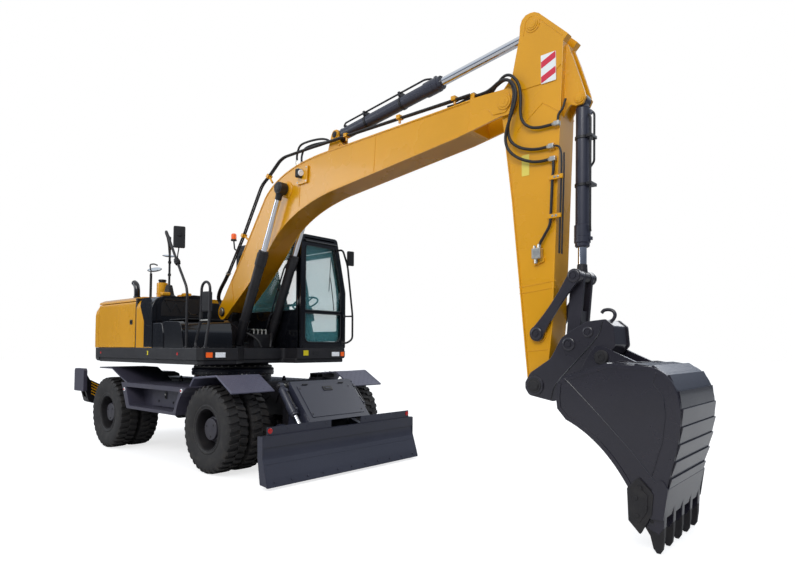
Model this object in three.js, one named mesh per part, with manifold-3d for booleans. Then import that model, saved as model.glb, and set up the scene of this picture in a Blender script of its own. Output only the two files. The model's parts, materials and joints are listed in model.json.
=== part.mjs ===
// Wheeled excavator with a twin-tyred undercarriage, dozer blade, outriggers and backhoe equipment.
// Millimetres, +Z up, +X towards the bucket, +Y towards the cab.
// Every piece is drawn about the slew axis; the whole machine is then moved so that the origin
// lies on the ground below the middle of its overall length.
import * as THREE from 'three';
import { mergeVertices } from 'three/addons/utils/BufferGeometryUtils.js';
import Module from 'manifold-3d';

const wasm = await Module();
wasm.setup();

// ---------------------------------------------------------------- driving dimensions

const seatGap = 0.3;                 // between pieces that touch
const runGap = 2;                    // round a pin that turns
const sideGap = 6;                   // between moving cheeks
const doorGap = 6;                   // round a hinged panel

const wheelbase = 2800;
const frontAxleX = 1322;
const rearAxleX = frontAxleX - wheelbase;
const tyreRadius = 527;
const tyreWidth = 278;
const twinSpacing = 310;             // between the two tyres' middles
const overTyres = 2470;
const beadRadius = 262;
const wheelFacets = 28;
const webInset = 20;                 // inner face of the rim's hub, in from the twin's middle
const axleZ = tyreRadius;
const twinY = overTyres / 2 - tyreWidth / 2 - twinSpacing / 2;
const kingpinY = 740;

const chassisHalf = 300;
const chassisLow = 640;
const chassisTop = 1000;
const chassisFront = 1860;
const chassisRear = -2330;
const bellyHalf = 560;               // wide middle between the axles
const bellyFront = 790;
const bellyRear = -880;
const stepDepth = 240;               // how deep the step boxes are cut in

const slewRadius = 595;
const ringSeat = 1130;               // top of the chassis pedestal
const ringHeight = 80;
const deckLow = 1290;
const deckTop = 1500;
const deckHalf = 1240;
const deckFront = 1167;
const tailRadius = 2285;
const bayTop = 2235;                 // top of the engine bay and the tank
const bayRear = -1800;
const bayFront = -560;
const hatchHalf = 700;               // half the opening under the hood
const hoodHeight = 55;
const railDepth = 40;
const doorThickness = 40;

const boomFoot = [-60, 2040];
const boomHead = [4800, 3880];
const boomHalf = 170;
const boomFootRadius = 115;
const boomHeadRadius = 130;
const boomPlate = 24;                // cheeks at the boom's fork

const armHalf = boomHalf - boomPlate - sideGap;
const armHeel = [5087, 4555];        // where the arm cylinder pushes
const armFoot = [5105, 1172];        // where the coupler turns
const guidePivot = [5122, 1643];
const guideHead = [5486, 2144];
const couplerPin = [5432, 1546];
const bucketEar = [5738, 1436];
const bucketCylinderFoot = [5512, 3749];

const boomCylinderFoot = [480, 1490];
const boomCylinderEye = [1450, 3620];
const boomCylinderY = 262;
const boomBarrelRadius = 66;
const cylinderCollar = 10;            // how far a barrel's head stands out
const armCylinderFoot = [2300, 4190];

const bladePivot = [1900, 520];
const bladeHalf = 1245;
const bladeEdge = [2574, 30];
const bladeTop = [2479, 560];
const bladeArmY = 565;
const bladeArmHalf = 38;
const bladeCylinderFoot = [1890, 1040];
const bladeCylinderEye = [2340, 505];
const bladeBarrelRadius = 50;

const outriggerX = -2525;            // middle of the outriggers
const outriggerPivot = [430, 470];   // y, z
const outriggerFoot = [1160, 905];
const outriggerCylinderFoot = [330, 960];
const outriggerCylinderEye = [905, 752];

const cabRear = -505;
const cabFront = 1140;
const cabRight = 346;
const cabLeft = 1220;
const cabWaist = 2350;
const cabTopLeft = 1055;
const cabFloor = deckTop;
const cabTop = 3155;
const cabWall = 50;
const doorFront = 1060;
const doorRear = 200;
const glassThickness = 8;

const bucketHalf = 500;
const machineMiddle = 1867;

// ---------------------------------------------------------------- materials

function paint(colour, roughness, metalness) {
  return new THREE.MeshStandardMaterial({ color: colour, roughness: roughness, metalness: metalness });
}

const ochre = () => paint(0xc98a1e, 0.45, 0.1);
const black = () => paint(0x1d1e22, 0.4, 0.2);
const steelGrey = () => paint(0x3a3e4a, 0.5, 0.4);
const rubber = () => paint(0x161616, 0.9, 0);
const chrome = () => paint(0xd0d2d6, 0.15, 1);
const glass = () => paint(0x2c5a62, 0.05, 0);

// ---------------------------------------------------------------- solids

function signedVolume(position, index) {
  const corners = [new THREE.Vector3(), new THREE.Vector3(), new THREE.Vector3()];
  let sum = 0;
  for (let i = 0; i < index.count; i += 3) {
    corners.forEach((corner, k) => corner.fromBufferAttribute(position, index.getX(i + k)));
    sum += corners[0].dot(corners[1].clone().cross(corners[2]));
  }
  return sum / 6;
}

// Turns a closed three.js geometry into a solid that can be cut and joined.
function solid(geometry) {
  const bare = geometry.clone();
  bare.deleteAttribute('normal');
  bare.deleteAttribute('uv');
  const merged = mergeVertices(bare, 1e-3);
  const triVerts = Uint32Array.from(merged.index.array);
  if (signedVolume(merged.attributes.position, merged.index) < 0) {
    for (let i = 0; i < triVerts.length; i += 3) {
      [triVerts[i + 1], triVerts[i + 2]] = [triVerts[i + 2], triVerts[i + 1]];
    }
  }
  const vertProperties = Float32Array.from(merged.attributes.position.array);
  return new wasm.Manifold(new wasm.Mesh({ numProp: 3, vertProperties, triVerts }));
}

function join(...solids) {
  return solids.flat().reduce((whole, piece) => whole.add(piece));
}

function cut(body, ...tools) {
  return tools.flat().reduce((rest, tool) => rest.subtract(tool), body);
}

function box(x0, x1, y0, y1, z0, z1) {
  const geometry = new THREE.BoxGeometry(Math.abs(x1 - x0), Math.abs(y1 - y0), Math.abs(z1 - z0));
  geometry.translate((x0 + x1) / 2, (y0 + y1) / 2, (z0 + z1) / 2);
  return solid(geometry);
}

function shapeOf(outline) {
  return outline instanceof THREE.Shape ? outline : new THREE.Shape(outline.map(([u, v]) => new THREE.Vector2(u, v)));
}

function slab(outline, depth, basis, shift) {
  const geometry = new THREE.ExtrudeGeometry(shapeOf(outline), {
    depth: depth,
    bevelEnabled: false,
    curveSegments: 6,
  });
  geometry.applyMatrix4(basis);
  geometry.translate(...shift);
  return solid(geometry);
}

const axes = { x: new THREE.Vector3(1, 0, 0), y: new THREE.Vector3(0, 1, 0), z: new THREE.Vector3(0, 0, 1) };

// An outline in X and Z, from y0 to y1.
function slabY(outline, y0, y1) {
  const basis = new THREE.Matrix4().makeBasis(axes.x, axes.z, axes.y.clone().negate());
  return slab(outline, Math.abs(y1 - y0), basis, [0, Math.max(y0, y1), 0]);
}

// An outline in Y and Z, from x0 to x1.
function slabX(outline, x0, x1) {
  const basis = new THREE.Matrix4().makeBasis(axes.y, axes.z, axes.x);
  return slab(outline, Math.abs(x1 - x0), basis, [Math.min(x0, x1), 0, 0]);
}

// An outline in X and Y, from z0 to z1.
function slabZ(outline, z0, z1) {
  return slab(outline, Math.abs(z1 - z0), new THREE.Matrix4(), [0, 0, Math.min(z0, z1)]);
}

// A round bar between two points; the second radius is its far end.
function bar(from, to, radius, segments = 16, farRadius = radius) {
  const start = new THREE.Vector3(...from);
  const end = new THREE.Vector3(...to);
  const along = end.clone().sub(start);
  const geometry = new THREE.CylinderGeometry(farRadius, radius, along.length(), segments);
  geometry.applyQuaternion(new THREE.Quaternion().setFromUnitVectors(axes.y, along.clone().normalize()));
  geometry.translate(...start.add(end).multiplyScalar(0.5).toArray());
  return solid(geometry);
}

// A pin or boss across the machine at [x, z].
function pin([x, z], radius, y0, y1, segments = 16) {
  return bar([x, y0, z], [x, y1, z], radius, segments);
}

// A bar along X at [y, z].
function pinX([y, z], radius, x0, x1, segments = 12) {
  return bar([x0, y, z], [x1, y, z], radius, segments);
}

// A turned piece about the Y axis of its own group, from [radius, y] pairs.
function turned(profile, segments) {
  return solid(new THREE.LatheGeometry(profile.map(([r, y]) => new THREE.Vector2(r, y)), segments));
}

// A bent tube along a smooth route.
function tube(points, radius, sides = 8, stepLength = 60, tension = 0.5) {
  const path = new THREE.CatmullRomCurve3(points.map((p) => new THREE.Vector3(...p)), false, 'catmullrom', tension);
  const section = new THREE.Shape();
  for (let i = 0; i < sides; i += 1) {
    const angle = (2 * Math.PI * i) / sides;
    section[i === 0 ? 'moveTo' : 'lineTo'](radius * Math.cos(angle), radius * Math.sin(angle));
  }
  const steps = Math.max(2, Math.round(path.getLength() / stepLength));
  return solid(new THREE.ExtrudeGeometry(section, { extrudePath: path, steps: steps, bevelEnabled: false }));
}

// The outline of a bar with round ends between two points, for links and lugs.
function linkOutline(a, b, radiusA, radiusB) {
  const along = Math.atan2(b[1] - a[1], b[0] - a[0]);
  const distance = Math.hypot(b[0] - a[0], b[1] - a[1]);
  const lean = Math.acos((radiusA - radiusB) / distance);
  const shape = new THREE.Shape();
  shape.absarc(a[0], a[1], radiusA, along + lean, along - lean + 2 * Math.PI, false);
  shape.absarc(b[0], b[1], radiusB, along - lean, along + lean, false);
  return shape;
}

function link(a, b, radiusA, radiusB, y0, y1) {
  return slabY(linkOutline(a, b, radiusA, radiusB), y0, y1);
}

// Left and right copies of what a function draws for one side.
function bothSides(draw) {
  return [draw(1), draw(-1)];
}

function offsetAlong(from, to, distance) {
  const length = Math.hypot(to[0] - from[0], to[1] - from[1]);
  return [
    from[0] + ((to[0] - from[0]) * distance) / length,
    from[1] + ((to[1] - from[1]) * distance) / length,
  ];
}

function addMesh(parent, name, body, material) {
  const mesh = body.getMesh();
  const geometry = new THREE.BufferGeometry();
  geometry.setAttribute('position', new THREE.BufferAttribute(Float32Array.from(mesh.vertProperties), 3));
  geometry.setIndex(new THREE.BufferAttribute(Uint32Array.from(mesh.triVerts), 1));
  geometry.computeVertexNormals();
  const result = new THREE.Mesh(geometry, material);
  result.name = name;
  parent.add(result);
  return result;
}

function groupAt(parent, x = 0, y = 0, z = 0) {
  const group = new THREE.Group();
  group.position.set(x, y, z);
  parent.add(group);
  return group;
}

const sideName = (side) => (side > 0 ? 'left' : 'right');

// ---------------------------------------------------------------- wheels

// Both tyres of a twin wheel with the spacer ring between them; y runs outwards.
function tyrePair() {
  const half = tyreWidth / 2;
  const shoulder = tyreRadius - 34;
  const ringTop = beadRadius + 26;
  const outward = (centre, s) => [
    [ringTop, centre - s * half],
    [shoulder, centre - s * (half - 8)],
    [tyreRadius, centre - s * (half - 42)],
  ];
  const inner = -twinSpacing / 2;
  const outer = twinSpacing / 2;
  const profile = [
    [beadRadius, inner - half + 22],
    ...outward(inner, 1),
    ...outward(inner, -1).reverse(),
    ...outward(outer, 1),
    ...outward(outer, -1).reverse(),
    [beadRadius, outer + half - 22],
    [beadRadius, inner - half + 22],
  ];
  return turned(profile, wheelFacets);
}

// The rim barrel that carries both tyres, its web and the hub; y runs outwards.
function rimPair() {
  const seat = beadRadius - seatGap;
  const wall = 14;
  const innerEdge = -twinSpacing / 2 - tyreWidth / 2 + 22;
  const outerEdge = twinSpacing / 2 + tyreWidth / 2 - 22;
  const web = 60 - webInset;
  const hubRadius = 150;
  const hubFace = outerEdge - 40;
  return turned([
    [0, web - 60],
    [hubRadius, web - 60],
    [seat - wall, web - 24],
    [seat - wall, innerEdge],
    [seat, innerEdge],
    [seat, outerEdge],
    [seat - wall, outerEdge],
    [seat - wall, web + 40],
    [hubRadius + 40, web],
    [hubRadius, web + 60],
    [hubRadius - 10, hubFace - 60],
    [90, hubFace],
    [0, hubFace],
  ], wheelFacets);
}

function addWheel(parent, end, side) {
  const axleX = end === 'front' ? frontAxleX : rearAxleX;
  const wheel = groupAt(parent, axleX, side * twinY, axleZ);
  if (side < 0) {
    wheel.rotation.z = Math.PI;
  }
  addMesh(wheel, `tyres_${end}_${sideName(side)}`, tyrePair(), rubber());
  addMesh(wheel, `rim_${end}_${sideName(side)}`, rimPair(), black());
}

// ---------------------------------------------------------------- axles

const housingRadius = 190;
const forkHalf = 135;
const forkGap = 95;
const forkRadius = 62;

function frontAxle() {
  const beamEnd = kingpinY - 85;
  const housing = turned([
    [0, -150], [110, -140], [housingRadius, -60], [housingRadius, 60], [110, 140], [0, 150],
  ], 20);
  const forks = bothSides((side) => {
    const y = side * kingpinY;
    const yoke = box(frontAxleX - 62, frontAxleX + 62, side * (beamEnd - 60), y, axleZ - forkHalf, axleZ + forkHalf);
    const lugs = bar([frontAxleX, y, axleZ - forkHalf], [frontAxleX, y, axleZ + forkHalf], forkRadius);
    const mouth = bar([frontAxleX, y, axleZ - forkGap], [frontAxleX, y, axleZ + forkGap], 84, 24);
    const slot = box(frontAxleX - 90, frontAxleX + 90, y - side * 10, y + side * 100, axleZ - forkGap, axleZ + forkGap);
    return cut(join(yoke, lugs), mouth, slot);
  });
  const beam = slabY([
    [frontAxleX - 70, axleZ - 75],
    [frontAxleX + 70, axleZ - 75],
    [frontAxleX + 70, axleZ + 75],
    [frontAxleX - 70, axleZ + 75],
  ], -beamEnd, beamEnd);
  const seats = bothSides((side) => box(frontAxleX - 70, frontAxleX + 70, side * 200, side * 290,
    axleZ, chassisLow - seatGap));
  const steeringCylinder = bar([frontAxleX + 130, -300, axleZ], [frontAxleX + 130, 300, axleZ], 42, 16);
  const cylinderBracket = box(frontAxleX + 60, frontAxleX + 140, -40, 40, axleZ - 30, axleZ + 30);
  return join(housing.translate([frontAxleX, 0, axleZ]), forks, beam, seats, steeringCylinder, cylinderBracket);
}

function rearAxle() {
  const beamEnd = twinY - webInset - seatGap;
  const housing = turned([
    [0, -160], [120, -150], [housingRadius, -70], [housingRadius, 70], [120, 150], [0, 160],
  ], 20);
  const beam = bar([rearAxleX, -beamEnd, axleZ], [rearAxleX, beamEnd, axleZ], 80, 20);
  const seats = bothSides((side) => box(rearAxleX - 90, rearAxleX + 90, side * 190, side * 290,
    axleZ, chassisLow - seatGap));
  const gearbox = box(rearAxleX + 120, rearAxleX + 520, -170, 170, axleZ - 110, chassisLow - seatGap);
  const shaft = bar([rearAxleX + 500, 0, axleZ], [frontAxleX - housingRadius - sideGap, 0, axleZ], 38, 12);
  return join(housing.translate([rearAxleX, 0, axleZ]), beam, seats, gearbox, shaft);
}

function knuckle(side) {
  const y = side * kingpinY;
  const post = bar([frontAxleX, y, axleZ - forkGap + runGap], [frontAxleX, y, axleZ + forkGap - runGap], 60);
  const spindle = bar([frontAxleX, y, axleZ], [frontAxleX, side * (twinY - webInset - seatGap), axleZ], 70);
  return join(post, spindle);
}

// ---------------------------------------------------------------- chassis

function chassisFrame() {
  const pockets = [frontAxleX, rearAxleX].map((x) => pin([x, axleZ], housingRadius + 20, -190, 190, 24));
  const spine = cut(box(chassisRear, chassisFront, -chassisHalf, chassisHalf, chassisLow, chassisTop), pockets);
  const belly = slabY([
    [bellyRear, chassisTop],
    [bellyRear + 150, chassisLow],
    [bellyFront - 40, chassisLow],
    [bellyFront, chassisTop],
  ], -bellyHalf, bellyHalf);
  const pedestal = bar([0, 0, chassisTop - 10], [0, 0, ringSeat], slewRadius - 35, 36);
  const noseHalf = bladeArmY - bladeBarrelRadius - cylinderCollar - sideGap;
  const pivotBosses = pin(bladePivot, 60, -(bladeArmY - bladeArmHalf - sideGap), bladeArmY - bladeArmHalf - sideGap);
  const nose = box(chassisFront - 15, bladePivot[0] + 60, -noseHalf, noseHalf, bladePivot[1] - 70, chassisTop);
  const noseEars = bothSides((side) => box(chassisFront - 15, bladePivot[0] + 60, side * 380, side * noseHalf,
    chassisTop - 10, bladeCylinderFoot[1] + 40));
  const bladePins = pin(bladePivot, 34, -(bladeArmY + 45), bladeArmY + 45);
  const cylinderPins = pin(bladeCylinderFoot, 26, -(bladeArmY + 45), bladeArmY + 45);
  const tailBeam = box(outriggerX - 195, chassisRear + 20, -chassisHalf, chassisHalf, 380, 1080);
  const tailWings = bothSides((side) => cut(
    slabX([
      [side * (chassisHalf - 10), 380],
      [side * (outriggerPivot[0] + 60), 400],
      [side * (outriggerPivot[0] + 60), 560],
      [side * (outriggerCylinderFoot[0] + 60), 1040],
      [side * (chassisHalf - 10), 1080],
    ], outriggerX - 195, outriggerX + 195),
    box(outriggerX - 110, outriggerX + 110, side * (outriggerCylinderFoot[0] - 80), side * 700, 300, 1100),
  ));
  const tailPins = bothSides((side) => [
    pinX([side * outriggerPivot[0], outriggerPivot[1]], 32, outriggerX - 150, outriggerX + 150),
    pinX([side * outriggerCylinderFoot[0], outriggerCylinderFoot[1]], 24, outriggerX - 150, outriggerX + 150),
  ]).flat();
  const rear = cut(tailBeam, bothSides((side) => box(outriggerX - 110, outriggerX + 110,
    side * (outriggerCylinderFoot[0] - 80), side * 700, 300, 1100)));
  return join(spine, belly, pedestal, nose, noseEars, pivotBosses, bladePins, cylinderPins, rear, tailWings, tailPins);
}

function slewRing() {
  const profile = [
    [slewRadius - 90, 0],
    [slewRadius - 20, 0],
    [slewRadius, 20],
    [slewRadius, ringHeight - 20],
    [slewRadius - 30, ringHeight],
    [slewRadius - 90, ringHeight],
    [slewRadius - 90, 0],
  ];
  return turned(profile, 40);
}

// Steps and tool lockers between the axles, with the shelf over the front of the rear tyres.
// The front wall curves back so that the steered front tyre passes it.
function stepBox(side) {
  const inner = side * (bellyHalf + seatGap);
  const locker = slabY([
    [-953, 1003],
    [-771, 640],
    [624, 640],
    [634, 700],
    [658, 760],
    [689, 820],
    [731, 880],
    [789, 940],
    [880, 1003],
  ], inner, side * deckHalf);
  const recess = slabY([
    [-799, 945],
    [-690, 680],
    [560, 680],
    [700, 945],
  ], side * (deckHalf - stepDepth), side * (deckHalf + 10));
  const shelf = slabY([
    [-953, 1003],
    [-700, 1003],
    [-935, 1061],
    [-1281, 1202],
    [-1720, 1206],
    [-1720, 1184],
    [-1285, 1180],
  ], side * (chassisHalf + 240), side * deckHalf);
  const shelfBracket = box(-940, -640, inner, side * (deckHalf - 40), 960, 1010);
  return join(cut(locker, recess), shelf, shelfBracket);
}

// Both front mudguards on the bar that crosses the chassis.
function frontFenders() {
  const guards = bothSides((side) => slabY([
    [944, 1042],
    [1046, 1140],
    [1560, 1178],
    [1880, 990],
    [1868, 974],
    [1552, 1158],
    [1056, 1121],
    [960, 1034],
  ], side * 640, side * deckHalf));
  const bearer = box(1240, 1400, -540, 540, chassisTop + seatGap, chassisTop + 60);
  const posts = bothSides((side) => join(
    box(1240, 1400, side * 440, side * 540, chassisTop + 50, 1150),
    box(1240, 1400, side * 440, side * 760, 1090, 1150),
  ));
  return join(guards, bearer, posts);
}

// Sloped locker on the nose of the chassis, open below for the blade's arms.
function noseLocker() {
  const wall = 12;
  const half = 500;
  const back = bladePivot[0] + 60 + seatGap;
  const outer = [[back, 1094], [1874 + 90, 1094], [2003, 1030], [2377, 637], [2300, 600], [back, 560]];
  const inner = [[back - 10, 1094 - wall], [1960, 1094 - wall], [1994, 1025], [2362, 637], [2330, 590], [back - 10, 540]];
  const shell = slabY(outer, -half, half);
  const hollow = slabY(inner, -half + wall, half - wall);
  const floorCut = box(back - 5, 2420, -half + wall, half - wall, 520, 660);
  return cut(shell, hollow, floorCut);
}

// ---------------------------------------------------------------- blade

function blade() {
  const board = new THREE.Shape();
  board.moveTo(bladeEdge[0], bladeEdge[1]);
  board.lineTo(bladeEdge[0] - 30, bladeEdge[1] + 110);
  board.quadraticCurveTo(2405, 330, bladeTop[0] - 10, bladeTop[1] - 100);
  board.lineTo(bladeTop[0], bladeTop[1]);
  board.lineTo(bladeTop[0] - 60, bladeTop[1]);
  board.quadraticCurveTo(2370, 330, bladeEdge[0] - 80, bladeEdge[1] + 110);
  board.lineTo(bladeEdge[0] - 30, bladeEdge[1]);
  const plates = bothSides((side) => slabY([
    [bladeEdge[0] - 4, bladeEdge[1] + 8],
    [bladeEdge[0] - 40, bladeEdge[1] + 130],
    [2466, 330],
    [bladeTop[0], bladeTop[1] - 90],
    [bladeTop[0], bladeTop[1]],
    [bladeTop[0] - 90, bladeTop[1]],
    [2395, 330],
    [2440, bladeEdge[1] + 20],
  ], side * (bladeHalf - 14), side * bladeHalf));
  const strips = bothSides((side) => box(bladeTop[0] - 32, bladeTop[0] - 18, side * 250, side * (bladeHalf - 75),
    bladeTop[1] - 10, bladeTop[1] + 92));
  const arms = bothSides((side) => {
    const y = side * bladeArmY;
    const armBar = link(bladePivot, [2400, 360], 52, 70, y - bladeArmHalf, y + bladeArmHalf);
    return cut(armBar, pin(bladePivot, 34 + runGap, y - 60, y + 60));
  });
  const tie = bar([2330, -bladeArmY, 355], [2330, bladeArmY, 355], 55, 16);
  const ears = bothSides((side) => [-1, 1].map((k) => slabY([
    [bladeCylinderEye[0] - 45, bladeCylinderEye[1] - 30],
    [2404, bladeCylinderEye[1] - 100],
    [2420, bladeCylinderEye[1] + 50],
    [bladeCylinderEye[0] - 20, bladeCylinderEye[1] + 45],
  ], side * bladeArmY + k * (26 + sideGap), side * bladeArmY + k * (26 + sideGap + 18)))).flat();
  return join(slabY(board, -bladeHalf + 5, bladeHalf - 5), plates, strips, arms, tie, ears);
}

// ---------------------------------------------------------------- cylinders

// A hydraulic cylinder drawn along +X from its foot pin; returns barrel and rod.
// The rod reaches `engaged` into the barrel, and the bore leaves it `retract` more.
function cylinderPair(sizes) {
  const { length, barrelRadius, rodRadius, barrelLength, eyeRadius, eyeHalf, footHalf, footPin } = sizes;
  const rodEnd = barrelLength - sizes.engaged;
  const collar = barrelRadius + cylinderCollar;
  const shell = bar([eyeRadius + 8, 0, 0], [barrelLength, 0, 0], barrelRadius, 16);
  const head = bar([barrelLength - barrelRadius * 1.6, 0, 0], [barrelLength, 0, 0], collar, 16);
  const foot = bar([0, -footHalf, 0], [0, footHalf, 0], eyeRadius, 16);
  const neck = box(0, eyeRadius + 30, -footHalf, footHalf, -eyeRadius * 0.8, eyeRadius * 0.8);
  const bore = bar([rodEnd - sizes.retract - 4, 0, 0], [barrelLength + 10, 0, 0], rodRadius + seatGap, 12);
  const pinHole = bar([0, -footHalf - 10, 0], [0, footHalf + 10, 0], footPin + runGap, 16);
  const barrel = cut(join(shell, head, foot, neck), bore, pinHole);
  const rodBar = bar([rodEnd, 0, 0], [length - eyeRadius * 0.6, 0, 0], rodRadius, 12);
  const eye = bar([length, -eyeHalf, 0], [length, eyeHalf, 0], eyeRadius, 16);
  return { barrel: barrel, rod: join(rodBar, eye) };
}

// A group whose +X points from one point of the XZ plane to another.
function aimedGroup(parent, from, to, y) {
  const group = groupAt(parent, from[0], y, from[1]);
  group.rotation.y = -Math.atan2(to[1] - from[1], to[0] - from[0]);
  return group;
}

const spanOf = (from, to) => Math.hypot(to[0] - from[0], to[1] - from[1]);

function addBladeCylinders(parent) {
  for (const side of [1, -1]) {
    const group = aimedGroup(parent, bladeCylinderFoot, bladeCylinderEye, side * bladeArmY);
    const pair = cylinderPair({
      length: spanOf(bladeCylinderFoot, bladeCylinderEye),
      barrelRadius: bladeBarrelRadius,
      rodRadius: 28, barrelLength: 440, eyeRadius: 44, eyeHalf: 26, footHalf: 30, footPin: 26, engaged: 160, retract: 200,
    });
    addMesh(group, `blade_barrel_${sideName(side)}`, pair.barrel, black());
    addMesh(group, `blade_rod_${sideName(side)}`, pair.rod, chrome());
  }
}

// ---------------------------------------------------------------- outriggers

function outriggerLeg(side) {
  const at = ([y, z]) => [side * y, z];
  const root = at(outriggerPivot);
  const foot = at(outriggerFoot);
  const cheeks = [-1, 1].map((k) => {
    const x0 = outriggerX + k * 62;
    const x1 = outriggerX + k * 104;
    return slabX([
      [root[0] - side * 55, root[1] - 30],
      [root[0] + side * 20, root[1] - 62],
      [side * 1120, 620],
      [foot[0] + side * 20, foot[1] - 60],
      [foot[0] + side * 20, foot[1] + 60],
      [foot[0] - side * 60, foot[1] + 70],
      [side * 820, 830],
      [root[0] - side * 20, root[1] + 62],
    ], x0, x1);
  });
  const webLow = slabX([
    [side * 700, 530],
    [side * 1120, 622],
    [side * 1150, 700],
    [side * 700, 590],
  ], outriggerX - 70, outriggerX + 70);
  const tip = box(outriggerX - 70, outriggerX + 70, side * 1080, side * (outriggerFoot[0] + 20), 810, 960);
  const pad = box(outriggerX - 190, outriggerX + 190, side * (outriggerFoot[0] + 20), side * deckHalf, 795, 1165);
  const hole = pinX(root, 32 + runGap, outriggerX - 200, outriggerX + 200);
  return cut(join(cheeks, webLow, tip, pad), hole);
}

function addOutriggerCylinders(parent) {
  for (const side of [1, -1]) {
    const from = [side * outriggerCylinderFoot[0], outriggerCylinderFoot[1]];
    const to = [side * outriggerCylinderEye[0], outriggerCylinderEye[1]];
    const group = groupAt(parent, outriggerX, from[0], from[1]);
    group.rotation.set(0, 0, (side * Math.PI) / 2);
    const tilt = groupAt(group);
    tilt.rotation.y = -Math.atan2(to[1] - from[1], Math.abs(to[0] - from[0]));
    const pair = cylinderPair({
      length: spanOf(outriggerCylinderFoot, outriggerCylinderEye),
      barrelRadius: 44,
      rodRadius: 26, barrelLength: 480, eyeRadius: 40, eyeHalf: 30, footHalf: 34, footPin: 24, engaged: 400, retract: 2,
    });
    addMesh(tilt, `outrigger_barrel_${sideName(side)}`, pair.barrel, black());
    addMesh(tilt, `outrigger_rod_${sideName(side)}`, pair.rod, chrome());
  }
}

// ---------------------------------------------------------------- upper structure

function tailOutline(inset) {
  const radius = tailRadius - inset;
  const half = deckHalf - inset;
  const start = Math.PI + Math.asin(half / radius);
  const end = Math.PI - Math.asin(half / radius);
  const shape = new THREE.Shape();
  shape.moveTo(bayRear - seatGap, -half);
  shape.absarc(0, 0, radius, start, end, true);
  shape.lineTo(bayRear - seatGap, half);
  return shape;
}

function counterweight() {
  const body = slabZ(tailOutline(0), deckLow + 10, bayTop - 60);
  const crown = slabZ(tailOutline(60), bayTop - 70, bayTop + 20);
  return join(body, crown);
}

function upperFrame() {
  const deck = slabZ([
    [bayRear, -deckHalf],
    [deckFront - 60, -deckHalf],
    [deckFront, -deckHalf + 60],
    [deckFront, -700],
    [900, -430],
    [900, 230],
    [deckFront, 280],
    [deckFront, deckHalf - 60],
    [deckFront - 60, deckHalf],
    [bayRear, deckHalf],
  ], deckLow, deckTop);
  const swivel = bar([0, 0, ringSeat + ringHeight + 2 * seatGap], [0, 0, deckLow + 10], slewRadius - 60, 36);
  const bulkhead = box(bayFront, bayFront + 40, -deckHalf, 1215, deckTop - 5, bayTop);
  const coverPanels = box(bayFront + 30, -50, -deckHalf, -380, deckTop - 5, bayTop);
  const rails = bothSides((side) => box(bayRear, bayFront + 20, side * hatchHalf, side * deckHalf,
    bayTop - railDepth, bayTop));
  const doorStubs = bothSides((side) => box(bayRear + doorGap + 4, bayRear + doorGap + 34,
    side * (deckHalf - doorThickness + 5), side * (deckHalf - 5), deckTop - 5, deckTop + doorGap - seatGap));
  const footBlock = slabY([
    [-420, deckTop - 5],
    [boomCylinderFoot[0] - 110, deckTop - 5],
    [420, 1680],
    [boomFoot[0] + 290, boomFoot[1] - 240],
    [boomFoot[0] + 150, boomFoot[1] - 170],
    [boomFoot[0] + 90, boomFoot[1] - 120],
    [boomFoot[0] + 90, boomFoot[1] + 10],
    [boomFoot[0] + 50, boomFoot[1] + 80],
    [boomFoot[0] - 50, boomFoot[1] + 80],
    [boomFoot[0] - 92, boomFoot[1] + 10],
    [-330, 1700],
  ], -105, 105);
  const footPin = pin(boomFoot, 50, -boomHalf - 25, boomHalf + 25, 16);
  const blockHalf = boomCylinderY - boomBarrelRadius - sideGap;
  const cylinderBlock = slabY([
    [boomCylinderFoot[0] - 160, deckTop - 120],
    [boomCylinderFoot[0] + 70, deckTop - 120],
    [boomCylinderFoot[0] + 85, boomCylinderFoot[1]],
    [boomCylinderFoot[0] + 50, boomCylinderFoot[1] + 80],
    [boomCylinderFoot[0] - 60, boomCylinderFoot[1] + 90],
    [boomCylinderFoot[0] - 160, deckTop + 120],
  ], -blockHalf, blockHalf);
  const cylinderWells = bothSides((side) => box(boomCylinderFoot[0] - 190, 1000,
    side * blockHalf, side * (boomCylinderY + 82), deckTop - 130, deckTop + 300));
  const pinHole = pin(boomCylinderFoot, 40 + runGap, -boomCylinderY, boomCylinderY);
  const plain = join(deck, swivel, bulkhead, coverPanels, rails, doorStubs, footBlock, footPin, cylinderBlock);
  return cut(plain, cylinderWells, pinHole);
}

function engineBlock() {
  return box(-1650, -800, -420, 420, deckTop + seatGap, 2050);
}

function hoodLid() {
  const low = bayTop - railDepth + 2;
  const half = hatchHalf - doorGap;
  const rim = hatchHalf + 20;
  return slabX([
    [-half, low],
    [half, low],
    [half, bayTop + seatGap],
    [rim, bayTop + seatGap],
    [rim, bayTop + 25],
    [rim - 80, bayTop + hoodHeight],
    [80 - rim, bayTop + hoodHeight],
    [-rim, bayTop + 25],
    [-rim, bayTop + seatGap],
    [-half, bayTop + seatGap],
  ], bayRear + doorGap, bayFront - doorGap);
}

function sideDoor(side) {
  return box(bayRear + doorGap, bayFront - doorGap, side * (deckHalf - doorThickness), side * deckHalf,
    deckTop + doorGap, bayTop - railDepth - doorGap);
}

function tankBox() {
  const shape = [
    [-44, deckTop + seatGap],
    [720, deckTop + seatGap],
    [720, 1740],
    [680, 1840],
    [560, 1890],
    [-44, 1890],
  ];
  return slabY(shape, -deckHalf + 4, -480);
}

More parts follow.
